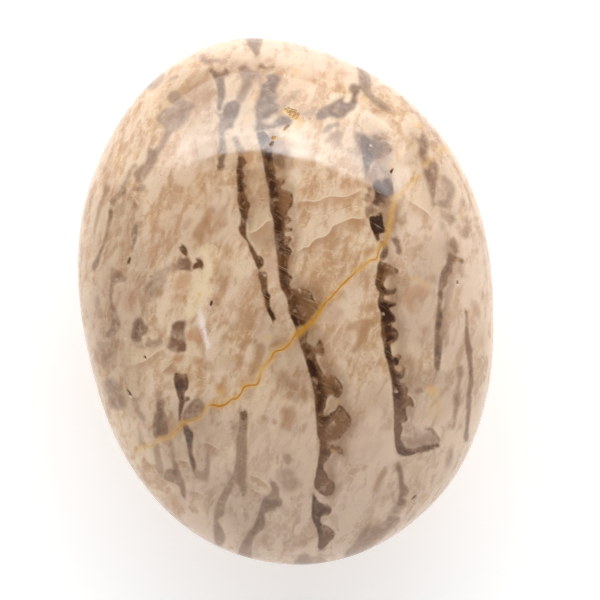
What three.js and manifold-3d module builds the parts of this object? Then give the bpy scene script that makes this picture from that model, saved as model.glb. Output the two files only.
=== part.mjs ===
// A polished feldspar pebble: one flattened oval stone, worn smooth all over, lying on its belly with its face up.
// Millimetres, +Z up, +Y along the stone's length. The origin is under the middle of the stone, in the plane of the
// small flat spot that it rests on.

import * as THREE from "three";
import { mergeVertices } from "three/addons/utils/BufferGeometryUtils.js";
import Module from "manifold-3d";

const wasm = await Module();
wasm.setup();

// Driving dimensions
const LENGTH = 65; // along Y, before the wear below
const WIDTH = 50.8; // along X, before the wear below
const CROWN = 13.8; // height of the face above the girdle, the widest line round the stone
const BELLY = 13.4; // depth of the belly below the girdle, before the flat spot is worn
const FOOT_SHARE = 0.2; // how wide the flat spot is, as a share of the girdle

// How the stone departs from a plain ellipsoid
const OUTLINE_POWER = 2.06; // 2 is an ellipse, and more fills out its corners
const DOME_POWER = 2.3; // 2 is an ellipse in section, and more flattens the face and fills out the rim
const EGG = 0.036; // how much longer the stone is on its -X side, as a share of its half length
const FACE_LEAN = 0.03; // how much higher the face stands towards +Y, as a share of the crown

// Where the tumbling left the rim a little proud or a little flat. Bearings are in degrees from +X towards +Y.
const RIM_WEAR = [
  { bearing: 25, proud: 0.38, spread: 14 },
  { bearing: 69, proud: -0.46, spread: 11 },
  { bearing: 94, proud: 0.34, spread: 8 },
  { bearing: 125, proud: -0.17, spread: 8 },
  { bearing: 152, proud: 0.16, spread: 10 },
  { bearing: 190, proud: -0.13, spread: 8 },
  { bearing: 222, proud: 0.12, spread: 14 },
  { bearing: 255, proud: -0.22, spread: 8 },
  { bearing: 305, proud: 0.24, spread: 9 },
  { bearing: 345, proud: -0.34, spread: 12 },
];

// Open pits in the polish, each an oval hollow: its place, length, width and depth, and the bearing of its length.
// The first is the crusted pocket near the head of the face, and side says whether a pit is on the face or the belly.
const PITS = [
  { at: [4.2, 21.8], size: [2.3, 1.2, 0.35], bearing: -50, side: "face" },
  { at: [1.5, 19.2], size: [0.6, 0.45, 0.25], bearing: 0, side: "face" },
  { at: [1.2, 18.5], size: [0.7, 0.4, 0.2], bearing: 50, side: "face" },
  { at: [3.2, 20.2], size: [1.2, 0.35, 0.2], bearing: 35, side: "face" },
  { at: [14.8, 13.1], size: [0.7, 0.35, 0.35], bearing: 48, side: "face" },
  { at: [-9.0, 1.0], size: [0.9, 0.35, 0.35], bearing: 66, side: "face" },
  { at: [-18.0, 7.6], size: [1.1, 0.45, 0.35], bearing: 58, side: "face" },
  { at: [-20.6, -8.1], size: [1.2, 0.5, 0.4], bearing: -60, side: "face" },
  { at: [-17.9, -4.1], size: [0.6, 0.35, 0.3], bearing: -75, side: "face" },
  { at: [20.5, -1.3], size: [0.6, 0.35, 0.3], bearing: 80, side: "face" },
  { at: [11.2, -26.1], size: [1.0, 0.35, 0.35], bearing: 33, side: "face" },
  { at: [9.5, 12.0], size: [1.2, 0.6, 0.4], bearing: 15, side: "belly" },
  { at: [-12.0, -15.5], size: [1.0, 0.5, 0.4], bearing: 70, side: "belly" },
];

// How finely the round surfaces are divided
const TURNS = 72;
const DOME_STEPS = 17; // from the girdle to either pole
const PIT_TURNS = 10;
const PIT_STEPS = 6;

const COLOUR = 0xcdb59b;
const ROUGHNESS = 0.15;

// The stone's section as a share of its girdle against its height from -1 to 1, from the middle of the flat spot to
// the top of the face.
function section() {
  const points = [new THREE.Vector2(0, 0)];
  for (let i = 0; i <= 2 * DOME_STEPS; i++) {
    const slope = (i / DOME_STEPS - 1) * (Math.PI / 2);
    const share = Math.pow(Math.abs(Math.cos(slope)), 2 / DOME_POWER);
    const height = Math.sin(slope);
    if (slope < 0 && share < FOOT_SHARE) continue;
    points.push(new THREE.Vector2(share, height));
  }
  const foot = footHeight();
  points[0].y = foot;
  points.splice(1, 0, new THREE.Vector2(FOOT_SHARE, foot));
  points[points.length - 1].x = 0;
  return points;
}

// Height of the flat spot, as a share of the belly.
function footHeight() {
  return -Math.sqrt(1 - Math.pow(FOOT_SHARE, DOME_POWER));
}

// Distance from the middle to the girdle at a turn round the stone, 1 on a circle.
function squareness(turn) {
  const sum =
    Math.pow(Math.abs(Math.cos(turn)), OUTLINE_POWER) + Math.pow(Math.abs(Math.sin(turn)), OUTLINE_POWER);
  return Math.pow(sum, -1 / OUTLINE_POWER);
}

// How far the rim stands proud of the smooth outline at a bearing in degrees, in millimetres.
function wearAt(bearing) {
  let proud = 0;
  for (const spot of RIM_WEAR) {
    const away = ((bearing - spot.bearing + 540) % 360) - 180;
    proud += spot.proud * Math.exp(-0.5 * (away / spot.spread) ** 2);
  }
  return proud;
}

// Moves a point of the lathed unit section to its place on the stone.
function shape(point) {
  const share = Math.hypot(point.x, point.y);
  const turn = Math.atan2(point.y, point.x);
  const reach = share * squareness(turn);
  const x = (WIDTH / 2) * reach * Math.cos(turn);
  const y = (LENGTH / 2) * reach * Math.sin(turn) * (1 - EGG * reach * Math.cos(turn));
  const bearing = Math.atan2(y, x);
  const out = wearAt(THREE.MathUtils.radToDeg(bearing)) * share * share;
  const lean = point.z > 0 ? 1 + (FACE_LEAN * y) / (LENGTH / 2) : 1;
  const rise = point.z > 0 ? CROWN * lean : BELLY;
  point.set(x + out * Math.cos(bearing), y + out * Math.sin(bearing), point.z * rise);
}

// The smooth stone, before its pits, with its flat spot at zero height and its box centred over the origin.
function smoothStone() {
  const geometry = new THREE.LatheGeometry(section(), TURNS);
  geometry.rotateX(Math.PI / 2);
  const position = geometry.getAttribute("position");
  const point = new THREE.Vector3();
  for (let i = 0; i < position.count; i++) {
    point.fromBufferAttribute(position, i);
    shape(point);
    position.setXYZ(i, point.x, point.y, point.z);
  }
  geometry.computeBoundingBox();
  const { min, max } = geometry.boundingBox;
  geometry.translate(-(min.x + max.x) / 2, -(min.y + max.y) / 2, -min.z);
  geometry.computeBoundingSphere();
  return geometry;
}

// The oval hollow of one pit, standing where a plumb line through its place meets the stone.
function pitHollow(pit, stone) {
  const [length, width, depth] = pit.size;
  const fromFace = pit.side === "face";
  const start = new THREE.Vector3(...pit.at, fromFace ? 2 * CROWN + BELLY : -BELLY);
  const way = new THREE.Vector3(0, 0, fromFace ? -1 : 1);
  const [hit] = new THREE.Raycaster(start, way).intersectObject(stone);
  const hollow = new THREE.SphereGeometry(1, PIT_TURNS, PIT_STEPS);
  hollow.scale(length / 2, width / 2, depth);
  hollow.rotateZ(THREE.MathUtils.degToRad(pit.bearing));
  const tilt = new THREE.Quaternion().setFromUnitVectors(new THREE.Vector3(0, 0, 1), hit.face.normal);
  hollow.applyQuaternion(tilt);
  hollow.translate(hit.point.x, hit.point.y, hit.point.z);
  return hollow;
}

// A closed geometry as a solid that can be cut.
function solidOf(geometry) {
  const bare = geometry.clone();
  bare.deleteAttribute("normal");
  bare.deleteAttribute("uv");
  const merged = mergeVertices(bare, 1e-4);
  return new wasm.Manifold(
    new wasm.Mesh({
      numProp: 3,
      vertProperties: new Float32Array(merged.attributes.position.array),
      triVerts: new Uint32Array(merged.index.array),
    }),
  );
}

function geometryOf(solid) {
  const { vertProperties, triVerts } = solid.getMesh();
  const geometry = new THREE.BufferGeometry();
  geometry.setAttribute("position", new THREE.BufferAttribute(vertProperties, 3));
  geometry.setIndex(new THREE.BufferAttribute(triVerts, 1));
  geometry.computeVertexNormals();
  return geometry;
}

function pebble() {
  const smooth = smoothStone();
  const stone = new THREE.Mesh(smooth);
  let solid = solidOf(smooth);
  for (const pit of PITS) solid = solid.subtract(solidOf(pitHollow(pit, stone)));
  const finish = new THREE.MeshStandardMaterial({ color: COLOUR, roughness: ROUGHNESS, metalness: 0 });
  const mesh = new THREE.Mesh(geometryOf(solid), finish);
  mesh.name = "pebble";
  return mesh;
}

const part = new THREE.Group();
part.add(pebble());

export default part;
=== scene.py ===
"""A polished feldspar pebble, tan and cream with bands of smoky quartz and a rust-stained crack.

The stone lies on its belly with its face up. Lengths in the tables below are millimetres in the stone's
own frame: +X across it, +Y along it, +Z up, with the origin under its middle.
"""

import math

import bmesh
import bpy
import numpy as np
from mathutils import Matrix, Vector


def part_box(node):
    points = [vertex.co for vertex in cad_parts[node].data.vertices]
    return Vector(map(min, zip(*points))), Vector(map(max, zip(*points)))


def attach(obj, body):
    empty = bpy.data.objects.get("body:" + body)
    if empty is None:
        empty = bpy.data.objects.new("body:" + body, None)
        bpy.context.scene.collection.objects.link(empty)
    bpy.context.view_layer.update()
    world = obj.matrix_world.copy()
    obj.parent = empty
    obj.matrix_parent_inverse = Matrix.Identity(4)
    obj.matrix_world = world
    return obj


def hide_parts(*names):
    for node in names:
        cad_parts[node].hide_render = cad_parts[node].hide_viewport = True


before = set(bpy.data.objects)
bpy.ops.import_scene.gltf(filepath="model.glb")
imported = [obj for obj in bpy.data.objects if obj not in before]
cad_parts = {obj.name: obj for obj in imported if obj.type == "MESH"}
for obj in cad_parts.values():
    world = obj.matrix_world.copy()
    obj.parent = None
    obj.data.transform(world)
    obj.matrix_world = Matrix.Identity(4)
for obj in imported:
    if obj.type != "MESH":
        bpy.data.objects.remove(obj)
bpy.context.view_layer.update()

bl_info = {
    "name": "Polished feldspar pebble",
    "version": (1, 0, 0),
    "blender": (4, 5, 0),
    "location": "3D View > Sidebar > Pebble",
    "description": "Builds a polished feldspar pebble with smoky quartz bands, and a pale stage for it",
    "category": "Object",
}

NODE = "pebble"
MM = 0.001

# The stone's form, as its solid has it
LENGTH = 65
WIDTH = 50.8
CROWN = 13.8
BELLY = 13.4
FOOT_SHARE = 0.2
OUTLINE_POWER = 2.06
DOME_POWER = 2.3
EGG = 0.036
FACE_LEAN = 0.03

# Where the rim is proud or flat: bearing in degrees, how far proud, and spread in degrees
RIM_WEAR = (
    (25, 0.38, 14),
    (69, -0.46, 11),
    (94, 0.34, 8),
    (125, -0.17, 8),
    (152, 0.16, 10),
    (190, -0.13, 8),
    (222, 0.12, 14),
    (255, -0.22, 8),
    (305, 0.24, 9),
    (345, -0.34, 12),
)

# Open pits: 1 on the face or -1 on the belly, place, length, width, depth, bearing in degrees, and how dark
# the dust in it is. The first is the crusted pocket.
PITS = (
    (1, (4.2, 21.8), 2.3, 1.2, 0.35, -50, 0.1),
    (1, (1.5, 19.2), 0.6, 0.45, 0.25, 0, 0.1),
    (1, (1.2, 18.5), 0.7, 0.4, 0.2, 50, 0.3),
    (1, (3.2, 20.2), 1.2, 0.35, 0.2, 35, 0.3),
    (1, (14.8, 13.1), 0.7, 0.35, 0.35, 48, 1),
    (1, (-9.0, 1.0), 0.9, 0.35, 0.35, 66, 1),
    (1, (-18.0, 7.6), 1.1, 0.45, 0.35, 58, 0.8),
    (1, (-20.6, -8.1), 1.2, 0.5, 0.4, -60, 0.8),
    (1, (-17.9, -4.1), 0.6, 0.35, 0.3, -75, 0.8),
    (1, (20.5, -1.3), 0.6, 0.35, 0.3, 80, 0.6),
    (1, (11.2, -26.1), 1.0, 0.35, 0.35, 33, 0.7),
    (-1, (9.5, 12.0), 1.2, 0.6, 0.4, 15, 0.7),
    (-1, (-12.0, -15.5), 1.0, 0.5, 0.4, 70, 0.7),
)

# The softbox's bright front, as nested panels that share a lower edge: width in metres, the angle of the
# upper edge from the vertical, how much light it adds by reflection, and the bearing of its middle
SHINE_FROM = 32.3
SHINE = (
    (1.05, 58, 0.05, 3),
    (0.95, 47, 0.05, 3),
    (0.8, 42, 0.06, 2),
    (0.55, 40, 0.05, 2),
    (0.3, 37.5, 0.05, 6),
    (0.2, 36, 0.05, 6),
)
SHINE_AWAY = 0.56
SHINE_COLOUR = (0.92, 0.97, 1)

# Share of the light that the polish throws straight back
GLOSS = 0.044

# The other lamps: width and height in metres, and the angle from the vertical, the bearing and the distance
# in metres that each hangs at
KEY_SIZE = (1.3, 0.42)
KEY_AT = (58, 0, 0.6)
STRIP_SIZE = (0.06, 0.022)
STRIP_AT = (27, -108, 0.6)
STRIP_COLOUR = (0.62, 0.76, 1)

# The sky dims between these heights, 1 being overhead
SKY_FADE = (0.6, 0.88)

# What every lamp faces, in metres
AIM = Vector((0, 0, 0.02))

# The markings were drawn as the face is seen from this height above the girdle
DRAWN_FROM = 368.6
GIRDLE_HEIGHT = 13.23

# The camera looks straight down from there, turned by so many degrees
CAMERA_AT = (1.48 * MM, -0.29 * MM, (GIRDLE_HEIGHT + DRAWN_FROM) * MM)
CAMERA_TURN = -9.3

# Closed outlines of the markings, by kind. Each has how strong it is, how soft its edge is in millimetres,
# and its corners as X, Y, X, Y and so on, which a smooth curve joins. First the bands of smoky quartz.
SMOKY = (
    # Long middle band, from the head of the face to its foot
    (1, 0.16, (
        -0.4, 20.9, -0.35, 19.5, -0.25, 18.4, -0.2, 15, -0.1, 13.5, -0.35, 11, -0.15, 10, -0.45, 7, -0.4, 6,
        -0.6, 2, -0.5, 1.3, -0.1, 0.4, 0, -0.6, -0.1, -1.6, 0.1, -2.2, 0.5, -4.6, 0.65, -6, 0.95, -7.6,
        1.35, -12, 1.2, -13.6, 1, -16.3, 0.9, -17, 1.1, -17.7, 0.6, -19.8, -0.2, -22.1, -0.5, -23.1,
        -0.2, -23.8, 0.5, -24.5, 1.1, -24.7, 1.7, -24.4, 2.1, -23.7, 2, -23, 1.5, -22.5, 1.4, -22, 1.1, -21.3,
        1.1, -20.8, 1.6, -20.3, 2.1, -19.8, 2.4, -19.4, 2.9, -19.4, 3.3, -19.8, 3.7, -19.8, 3.8, -19.4,
        3.5, -18.9, 3, -18.6, 2.2, -18.4, 1.9, -18.2, 2.6, -18.05, 3.3, -18.1, 4.4, -17.2, 5, -16.7, 5.4, -16,
        5.3, -15.3, 4.9, -14.6, 4.6, -14, 4.1, -13.7, 3.9, -14, 3.5, -14.4, 2.9, -14.6, 2.5, -14.8,
        2.15, -14.6, 2.3, -14.1, 2.6, -13.7, 2.75, -13.1, 3.1, -12.6, 3.5, -12.4, 3.8, -12.8, 4.2, -13,
        4.7, -12.6, 5, -12, 4.9, -11.2, 4.2, -10.1, 3.8, -10, 3.4, -10.2, 3, -9.8, 2.6, -8.6, 2.35, -7.3,
        3.2, -7.5, 3.5, -7.1, 3.3, -5.6, 3, -5.4, 2.75, -5.9, 2.4, -6.2, 2, -6, 1.6, -5.5, 2, -4.3, 2.5, -3.7,
        2.9, -3.1, 3.6, -2.4, 4, -1.8, 4.2, -1.3, 3.2, -0.5, 3.2, 0.1, 2.8, 0.7, 2.2, 1.05, 0.9, 1.2,
        0.6, 1.6, 0.75, 2.1, 1.05, 2.4, 1.05, 2.8, 0.7, 3.05, 0.65, 3.5, 1, 4.8, 1.25, 5.3, 1.55, 5.7,
        1.45, 6.1, 1.2, 6.6, 1.8, 7.2, 1.6, 7.6, 1.1, 7.75, 0.95, 8, 1.2, 8.3, 1.7, 8.2, 1.95, 8.1, 2.05, 8.6,
        1.2, 8.8, 1.3, 9.1, 2, 9.4, 2.15, 9.7, 1.8, 10.1, 1.75, 10.6, 2.1, 11, 2.5, 11.3, 2.8, 12.5, 2.6, 13,
        1.45, 13.6, 1.5, 13.9, 2, 14.1, 2.15, 14.5, 1.8, 14.8, 1.15, 14.9, 1.1, 15.4, 1.2, 16, 1.1, 16.8,
        1.3, 17.6, 1.2, 18.6, 1.1, 19.6, 0.8, 20.6, 0.3, 21,
    )),
    (0.5, 0.3, (
        10.2, -20.8, 11.2, -18.8, 12.2, -19.2, 13.2, -19.3, 14, -19, 14.8, -18.4, 15.4, -19.4, 15.7, -20.3,
        12.6, -21, 11.2, -21.4,
    )),
    (0.6, 0.4, (0.9, 18.7, 2.3, 18.4, 3.1, 18.1, 3, 17.4, 2.6, 16.8, 2.5, 16.1, 2, 15.8, 0.9, 16.6)),
    # Foot of the middle band, its lobe and the ring below it
    (1, 0.16, (
        -0.75, -23.9, -0.95, -24.6, -1.35, -26.5, -1.35, -27.2, -1.15, -27.9, -0.95, -29.2, -1.1, -30,
        -1.3, -30.6, -1, -31.1, -0.5, -30.9, 0.2, -30.3, 0.8, -29.9, 1.1, -29.3, 0.6, -28.4, -0.3, -27.8,
        -0.35, -27.2, 0, -26.95, 0.6, -26.95, 1.1, -26.6, 1.2, -26.2, 0.9, -25.75, 0.3, -25.5, -0.15, -25.2,
    )),
    # Second band, left of the middle
    (1, 0.16, (
        -3.1, 18.4, -3.35, 17.5, -3.65, 16.4, -3.9, 14.3, -4.1, 13, -4, 11, -4.2, 10.2, -4.55, 9.6, -4.5, 9.1,
        -4.15, 8.4, -3.8, 7.9, -3.7, 7.2, -3.5, 6.4, -3.15, 4.8, -2.95, 4.2, -3.1, 3.3, -2.95, 2.3, -3, 1.4,
        -2.75, 0.6, -2.85, -0.2, -2.4, -1.8, -2.15, -2.7, -1.95, -2.3, -1.75, -2.2, -1.85, -1.5, -2.15, -0.8,
        -2.1, 0.4, -1.95, 0.8, -2.2, 1.3, -2.1, 2, -2, 3, -1.95, 3.7, -2.3, 3.9, -2.7, 3.9, -2.6, 4.3,
        -2.2, 4.6, -2.05, 5.2, -2.2, 5.7, -2.7, 6.1, -3, 6.8, -3.3, 7.5, -3.6, 8.2, -3.45, 10, -3.2, 10.6,
        -2.9, 11.5, -2.6, 12.2, -2.8, 13, -2.95, 14.35, -2.5, 14.4, -3, 15.2, -2.6, 15.9, -2.85, 16.6,
        -2.5, 17.1, -2.15, 17.4, -2.7, 18.4,
    )),
    # Head of the second band, under the broad reflection
    (0.85, 0.25, (
        -5, 29.3, -4.7, 28.6, -4.4, 27.4, -4.5, 26, -4.75, 24.9, -4.7, 24.2, -4.3, 24.2, -4, 25, -3.5, 25.8,
        -3.3, 27, -3.2, 28.1, -2.7, 28.4, -2.6, 29, -2.9, 29.3, -3.6, 28.9, -4.1, 29.1, -4.6, 29.6,
    )),
    (0.9, 0.25, (
        -5.8, 17, -5.95, 17.5, -5.65, 18, -5.7, 18.6, -5.2, 18.85, -4.9, 19.15, -4.5, 18.9, -5, 17.8,
        -4.9, 17.3,
    )),
    # Third band: its head, leaf and block
    (1, 0.22, (
        12.1, 18.3, 12.5, 18.55, 13, 18, 13.7, 17.6, 14.1, 17.1, 14.8, 17.3, 15.4, 16.9, 15.7, 16, 15, 15.5,
        13.1, 15, 12.2, 13.6, 11.95, 13, 11.9, 15,
    )),
    (0.9, 0.16, (
        12.5, 12.1, 13, 12.65, 13.45, 12.65, 13.75, 12.35, 14.3, 12.8, 14.85, 12.9, 15.1, 11.2, 14.95, 10.4,
        14.5, 10.2, 13.9, 10.5, 13.4, 10.4, 13.9, 9.9, 13.7, 9.4, 13.2, 9.35, 12.1, 10, 12.5, 10.5, 12.75, 11,
        12.7, 11.6,
    )),
    (0.75, 0.2, (11.25, 9.6, 11.6, 9.75, 12.1, 9.9, 12.5, 9.3, 12.7, 9, 12.3, 8.6, 11.7, 8.5, 11.3, 8.3)),
    (1, 0.12, (
        11.45, 8.3, 11.85, 8.5, 12.25, 8.4, 12.6, 8.6, 13.1, 8.75, 13.3, 8.4, 13.2, 7.4, 13.3, 6.7,
        13.55, 6.3, 13, 6.15, 12.4, 6.1, 12.4, 5.4, 12.1, 5.25, 11.9, 5.6, 11.5, 7.8,
    )),
    (0.85, 0.16, (
        12.3, 5.1, 12.9, 5.2, 13.2, 4.8, 13.25, 4.2, 13, 3.3, 12.5, 2.9, 12, 3, 12.1, 3.6, 12.5, 4.1,
        12.6, 4.6,
    )),
    (0.8, 0.2, (13.8, 5.35, 14.4, 5.35, 14.9, 5, 14.75, 4.3, 14.85, 3.6, 14.5, 3.2, 14.1, 3.5, 14.15, 4.3)),
    # Third band, down to the hook at its foot
    (1, 0.14, (
        11.9, 2.9, 11.3, 1.2, 10.95, 0.2, 11.1, -0.6, 11.25, -1.1, 10.95, -1.8, 10.85, -2.5, 11.05, -3.4,
        10.9, -4.3, 10.8, -5.3, 10.6, -6.3, 10.75, -7, 10.7, -8.5, 10.85, -9.5, 10.9, -10.6, 11, -11.6,
        10.55, -16.6, 10.3, -18, 10.2, -20.7, 10.6, -21.1, 11, -21.35, 11.8, -21.4, 12.5, -21.25,
        13.6, -21.25, 14.6, -21.05, 15.5, -20.9, 15.5, -20.5, 14.6, -20.2, 13.6, -20.2, 12.6, -20.3,
        11.9, -20.2, 11.4, -19.6, 11.05, -19.1, 11.45, -17.9, 11.35, -17.3, 11.9, -17.2, 12.25, -16.9,
        12.2, -16.2, 12.35, -15.4, 12.8, -15.4, 13.25, -15.5, 13.1, -14.3, 12.6, -13.95, 12.9, -13.4,
        12.8, -12.9, 12, -12, 12.5, -11.85, 12.95, -10.8, 12.8, -10.4, 12.5, -10.15, 12.6, -10.7, 12.2, -11,
        11.8, -10.7, 11.7, -10.3, 12.1, -10.1, 12.4, -9.6, 12.8, -9.1, 12.5, -8.85, 12, -8.95, 11.65, -8.9,
        11.6, -8.1, 11.7, -7.5, 12.2, -7.3, 12.7, -6.9, 12.85, -6.3, 12.6, -5.7, 12.1, -5.1, 12.7, -4.85,
        12.85, -4.3, 12.5, -3.6, 12.1, -3.05, 12.7, -3, 13.2, -2.7, 13, -2.35, 12.3, -2.2, 11.8, -1.9,
        11.9, -1.45, 12.5, -1.6, 13.1, -1.5, 13.5, -1, 13.35, -0.6, 12.7, -0.75, 12.2, -0.6, 12, 0, 12.4, 0.5,
        12.8, 0.95, 13.6, 0.85, 14.1, 1.2, 13.8, 1.7, 12.5, 2.6,
    )),
    (0.8, 0.2, (14.1, -18.5, 14.6, -18.3, 15.1, -18.5, 15.4, -19.2, 15.8, -20.1, 15.5, -20.4, 14.8, -19.1)),
    # Slanting band on the right
    (0.85, 0.18, (
        20.6, 2.6, 21.1, 2.1, 21.7, 1.6, 22.2, 1.3, 22, 1, 21.3, 1.25, 20.8, 1, 20.5, 0, 20, -0.4, 19.6, -1.5,
        19.1, -1.9, 18.9, -3, 18.5, -4.1, 18.5, -5, 18.2, -6.2, 17.8, -7.3, 18, -8.1, 17.4, -10.4,
        16.9, -11.7, 16.45, -11.2, 16.6, -10.2, 17.15, -7.2, 18.15, -3.2, 18.9, -0.3, 19.4, 0.6, 20, 1.3,
        20.25, 2.1,
    )),
    (0.85, 0.18, (
        21.3, -4.7, 21.6, -5, 21.4, -7, 21.3, -8.6, 21.5, -9.7, 21.3, -10.4, 20.9, -14, 20.5, -14.8,
        20.3, -16, 19.5, -19, 19, -20.8, 18.6, -20.6, 19.1, -18.6, 19.8, -15.2, 20.3, -13.6, 20.6, -12,
        20.65, -8.8, 21.2, -5.6,
    )),
    # Left side
    (0.85, 0.2, (
        -18.4, 0.9, -18, 0.7, -17.8, 0, -17.4, -0.8, -17.8, -1.3, -18.3, -1.6, -18.6, -2.3, -19.2, -2.2,
        -19.8, -1.6, -19.5, -0.6, -19.1, 0.4,
    )),
    (0.6, 0.2, (
        -17.6, -1.7, -17.2, -2.2, -16.2, -2.1, -15.9, -2.7, -16.4, -3.1, -17.6, -3.1, -18.2, -2.8,
        -17.9, -2.2,
    )),
    (1, 0.16, (
        -15, -6.5, -14.4, -6.9, -13.7, -7, -13.6, -7.8, -13.8, -8.8, -14.2, -9.2, -14.4, -9.7, -13.8, -9.8,
        -13.8, -10.3, -14.4, -10.4, -14.7, -11, -15.1, -11.8, -15.35, -12.7, -15.6, -12.6, -15.45, -11.4,
        -15.2, -10.2, -15.45, -7.9, -15.3, -7,
    )),
    (0.95, 0.2, (
        -15.2, -13, -14.6, -13, -14.3, -13.7, -14, -14.4, -14.3, -15.4, -14.5, -16.6, -14.35, -17.8,
        -14.4, -18.6, -14.8, -19.4, -15.1, -17, -15.1, -15.4,
    )),
    (0.6, 0.25, (
        -12.8, -16.9, -12.5, -17.6, -12.7, -18.6, -12.9, -19.6, -13.4, -20.3, -14.9, -19.6, -14.4, -18.9,
        -13.7, -19.1, -13.2, -18.5, -13.15, -17.5,
    )),
    (0.8, 0.22, (
        -18, -9.9, -18.1, -10.8, -18.6, -11.6, -19, -13.8, -18.8, -14.2, -17.9, -14.1, -17.2, -13.9,
        -16.9, -13.1, -17.05, -12.4, -16.9, -11.8, -17.15, -11, -16.8, -9.9, -17.2, -9.5,
    )),
    (0.55, 0.25, (-19.1, -14.8, -18.4, -14.9, -18.5, -16, -18.4, -19, -19, -19, -19.3, -16.4)),
    (0.75, 0.22, (
        -18.2, -18.3, -17.3, -18.1, -17.15, -17.2, -16.7, -17.4, -16.5, -18.5, -16.1, -20.3, -16.4, -22.2,
        -16.8, -21.6, -16.8, -20.8, -17.2, -20.2, -18, -19.8, -18.6, -19.2,
    )),
    (0.8, 0.18, (
        -19.6, 14.6, -19.4, 14, -20.4, 11.6, -21.8, 8.9, -22.3, 7.8, -22.9, 7.3, -23.2, 7.7, -22, 9.5,
        -21.2, 10.8, -20.1, 13.6, -19.9, 14.5,
    )),
    (0.6, 0.28, (
        -20, 17.6, -20.3, 16.6, -20.9, 15.6, -22.4, 11.5, -22, 11.9, -21, 14.2, -19.8, 16.3, -19.4, 16.7,
        -19.4, 17.3,
    )),
    (0.7, 0.16, (
        -19.5, 14.9, -19.6, 15.5, -19, 16.1, -18.3, 16.5, -17.9, 17, -17.5, 17, -17.4, 16.4, -17.8, 15.95,
        -18.4, 15.6, -18.9, 15.1, -19.3, 14.7,
    )),
    (0.8, 0.25, (-16.5, 16.3, -15.4, 16.9, -14.9, 16.6, -15.2, 16.1, -16, 16)),
    (0.8, 0.18, (
        -17.1, 12.3, -16.7, 12.2, -17, 10.4, -17.4, 9.8, -17.8, 9, -18, 9.2, -17.7, 9.9, -17.75, 10.7,
    )),
    (0.75, 0.15, (-16.8, 15.1, -16.5, 15, -16.35, 14.4, -16.5, 14, -16.7, 14.3)),
    (0.65, 0.22, (
        -20.7, 7.5, -20.2, 7, -19.6, 6.7, -19.4, 6.1, -19, 5.8, -19.2, 5.4, -20, 5.4, -20.7, 5.2, -21.2, 4.9,
    )),
    (1, 0.15, (-12.05, 8.6, -11.6, 8.8, -11.25, 8.4, -11.1, 7.6, -11.3, 7.1, -12.05, 8.1)),
    (1, 0.14, (-10.9, 5.6, -10.6, 6.2, -10.25, 6.4, -10.3, 6.8, -9.7, 6.7, -9.4, 6.1, -9.6, 5.6)),
    # Foot of the face
    (0.7, 0.22, (
        -7.9, -12.5, -7.2, -12.6, -7.1, -13.4, -7.4, -14.6, -8.2, -19.2, -8.6, -20.8, -8.8, -22.6,
        -9.3, -23.1, -9.5, -21.9, -9.9, -21, -10.6, -22, -11.8, -24, -12, -24.9, -12.8, -25.4, -12.4, -26.6,
        -12.3, -27.8, -13, -28.6, -13.6, -28.2, -13.3, -25, -12.9, -23.7, -11, -21.1, -10.1, -20, -9.6, -18.8,
        -8.9, -15.8, -8.2, -13.4,
    )),
    (0.75, 0.25, (
        -5.7, -21.5, -5.1, -21.9, -4.8, -22.8, -4.9, -23.7, -4.65, -24.4, -5, -25, -7, -25.5, -7.1, -26.5,
        -7.5, -27.3, -8.4, -27.8, -9, -28.6, -9.4, -30, -9.8, -32, -11.4, -32, -11, -29.6, -9.5, -27.5,
        -8.6, -26.7, -7.4, -24.6, -6.8, -23.5, -6.2, -23.3, -5.7, -22.7, -5.8, -22,
    )),
    (0.85, 0.25, (
        9.85, -22.2, 10.3, -22.1, 10.6, -23.2, 10.5, -24.5, 10.9, -25.2, 10.8, -25.9, 10.2, -26.3,
        10.4, -26.9, 9.9, -27.4, 9.2, -27.1, 9.5, -26.2, 9.8, -25, 9.9, -23.6,
    )),
    (0.7, 0.3, (
        1, -34, 2, -31.8, 3, -31, 4.5, -29.3, 5.2, -29, 6.2, -29.1, 7.3, -28.8, 8, -28.2, 9.3, -28.7,
        8.7, -29.6, 6, -31.2, 4.6, -32.2, 3, -34,
    )),
    (0.6, 0.3, (-3, -31.2, -2.2, -31.6, -1, -32, 0, -33.6, -3, -34.4, -5.5, -33.6, -4.4, -31.9)),
    # Rim at the head
    (0.7, 0.3, (0.2, 31.6, 0.6, 30.8, 1, 30, 1.4, 30.2, 1.7, 31, 2.1, 31.8, 2.2, 34.5, 0, 34.5)),
    (0.65, 0.3, (
        13, 27, 13.9, 26.6, 14.5, 25.2, 14.4, 23.4, 16.2, 21.4, 16.3, 20.8, 15.5, 20.9, 13.2, 23.6,
        12.9, 24.6, 13, 25.8,
    )),
    (0.7, 0.25, (1.1, 29, 1.5, 29.2, 2, 28.7, 3, 28.6, 2.9, 28.3, 1.2, 28.6)),
    (0.5, 0.25, (-12.8, 28.3, -12.2, 28.1, -10.8, 29, -10.5, 29.9, -12, 31, -14, 29.4)),
)

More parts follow.
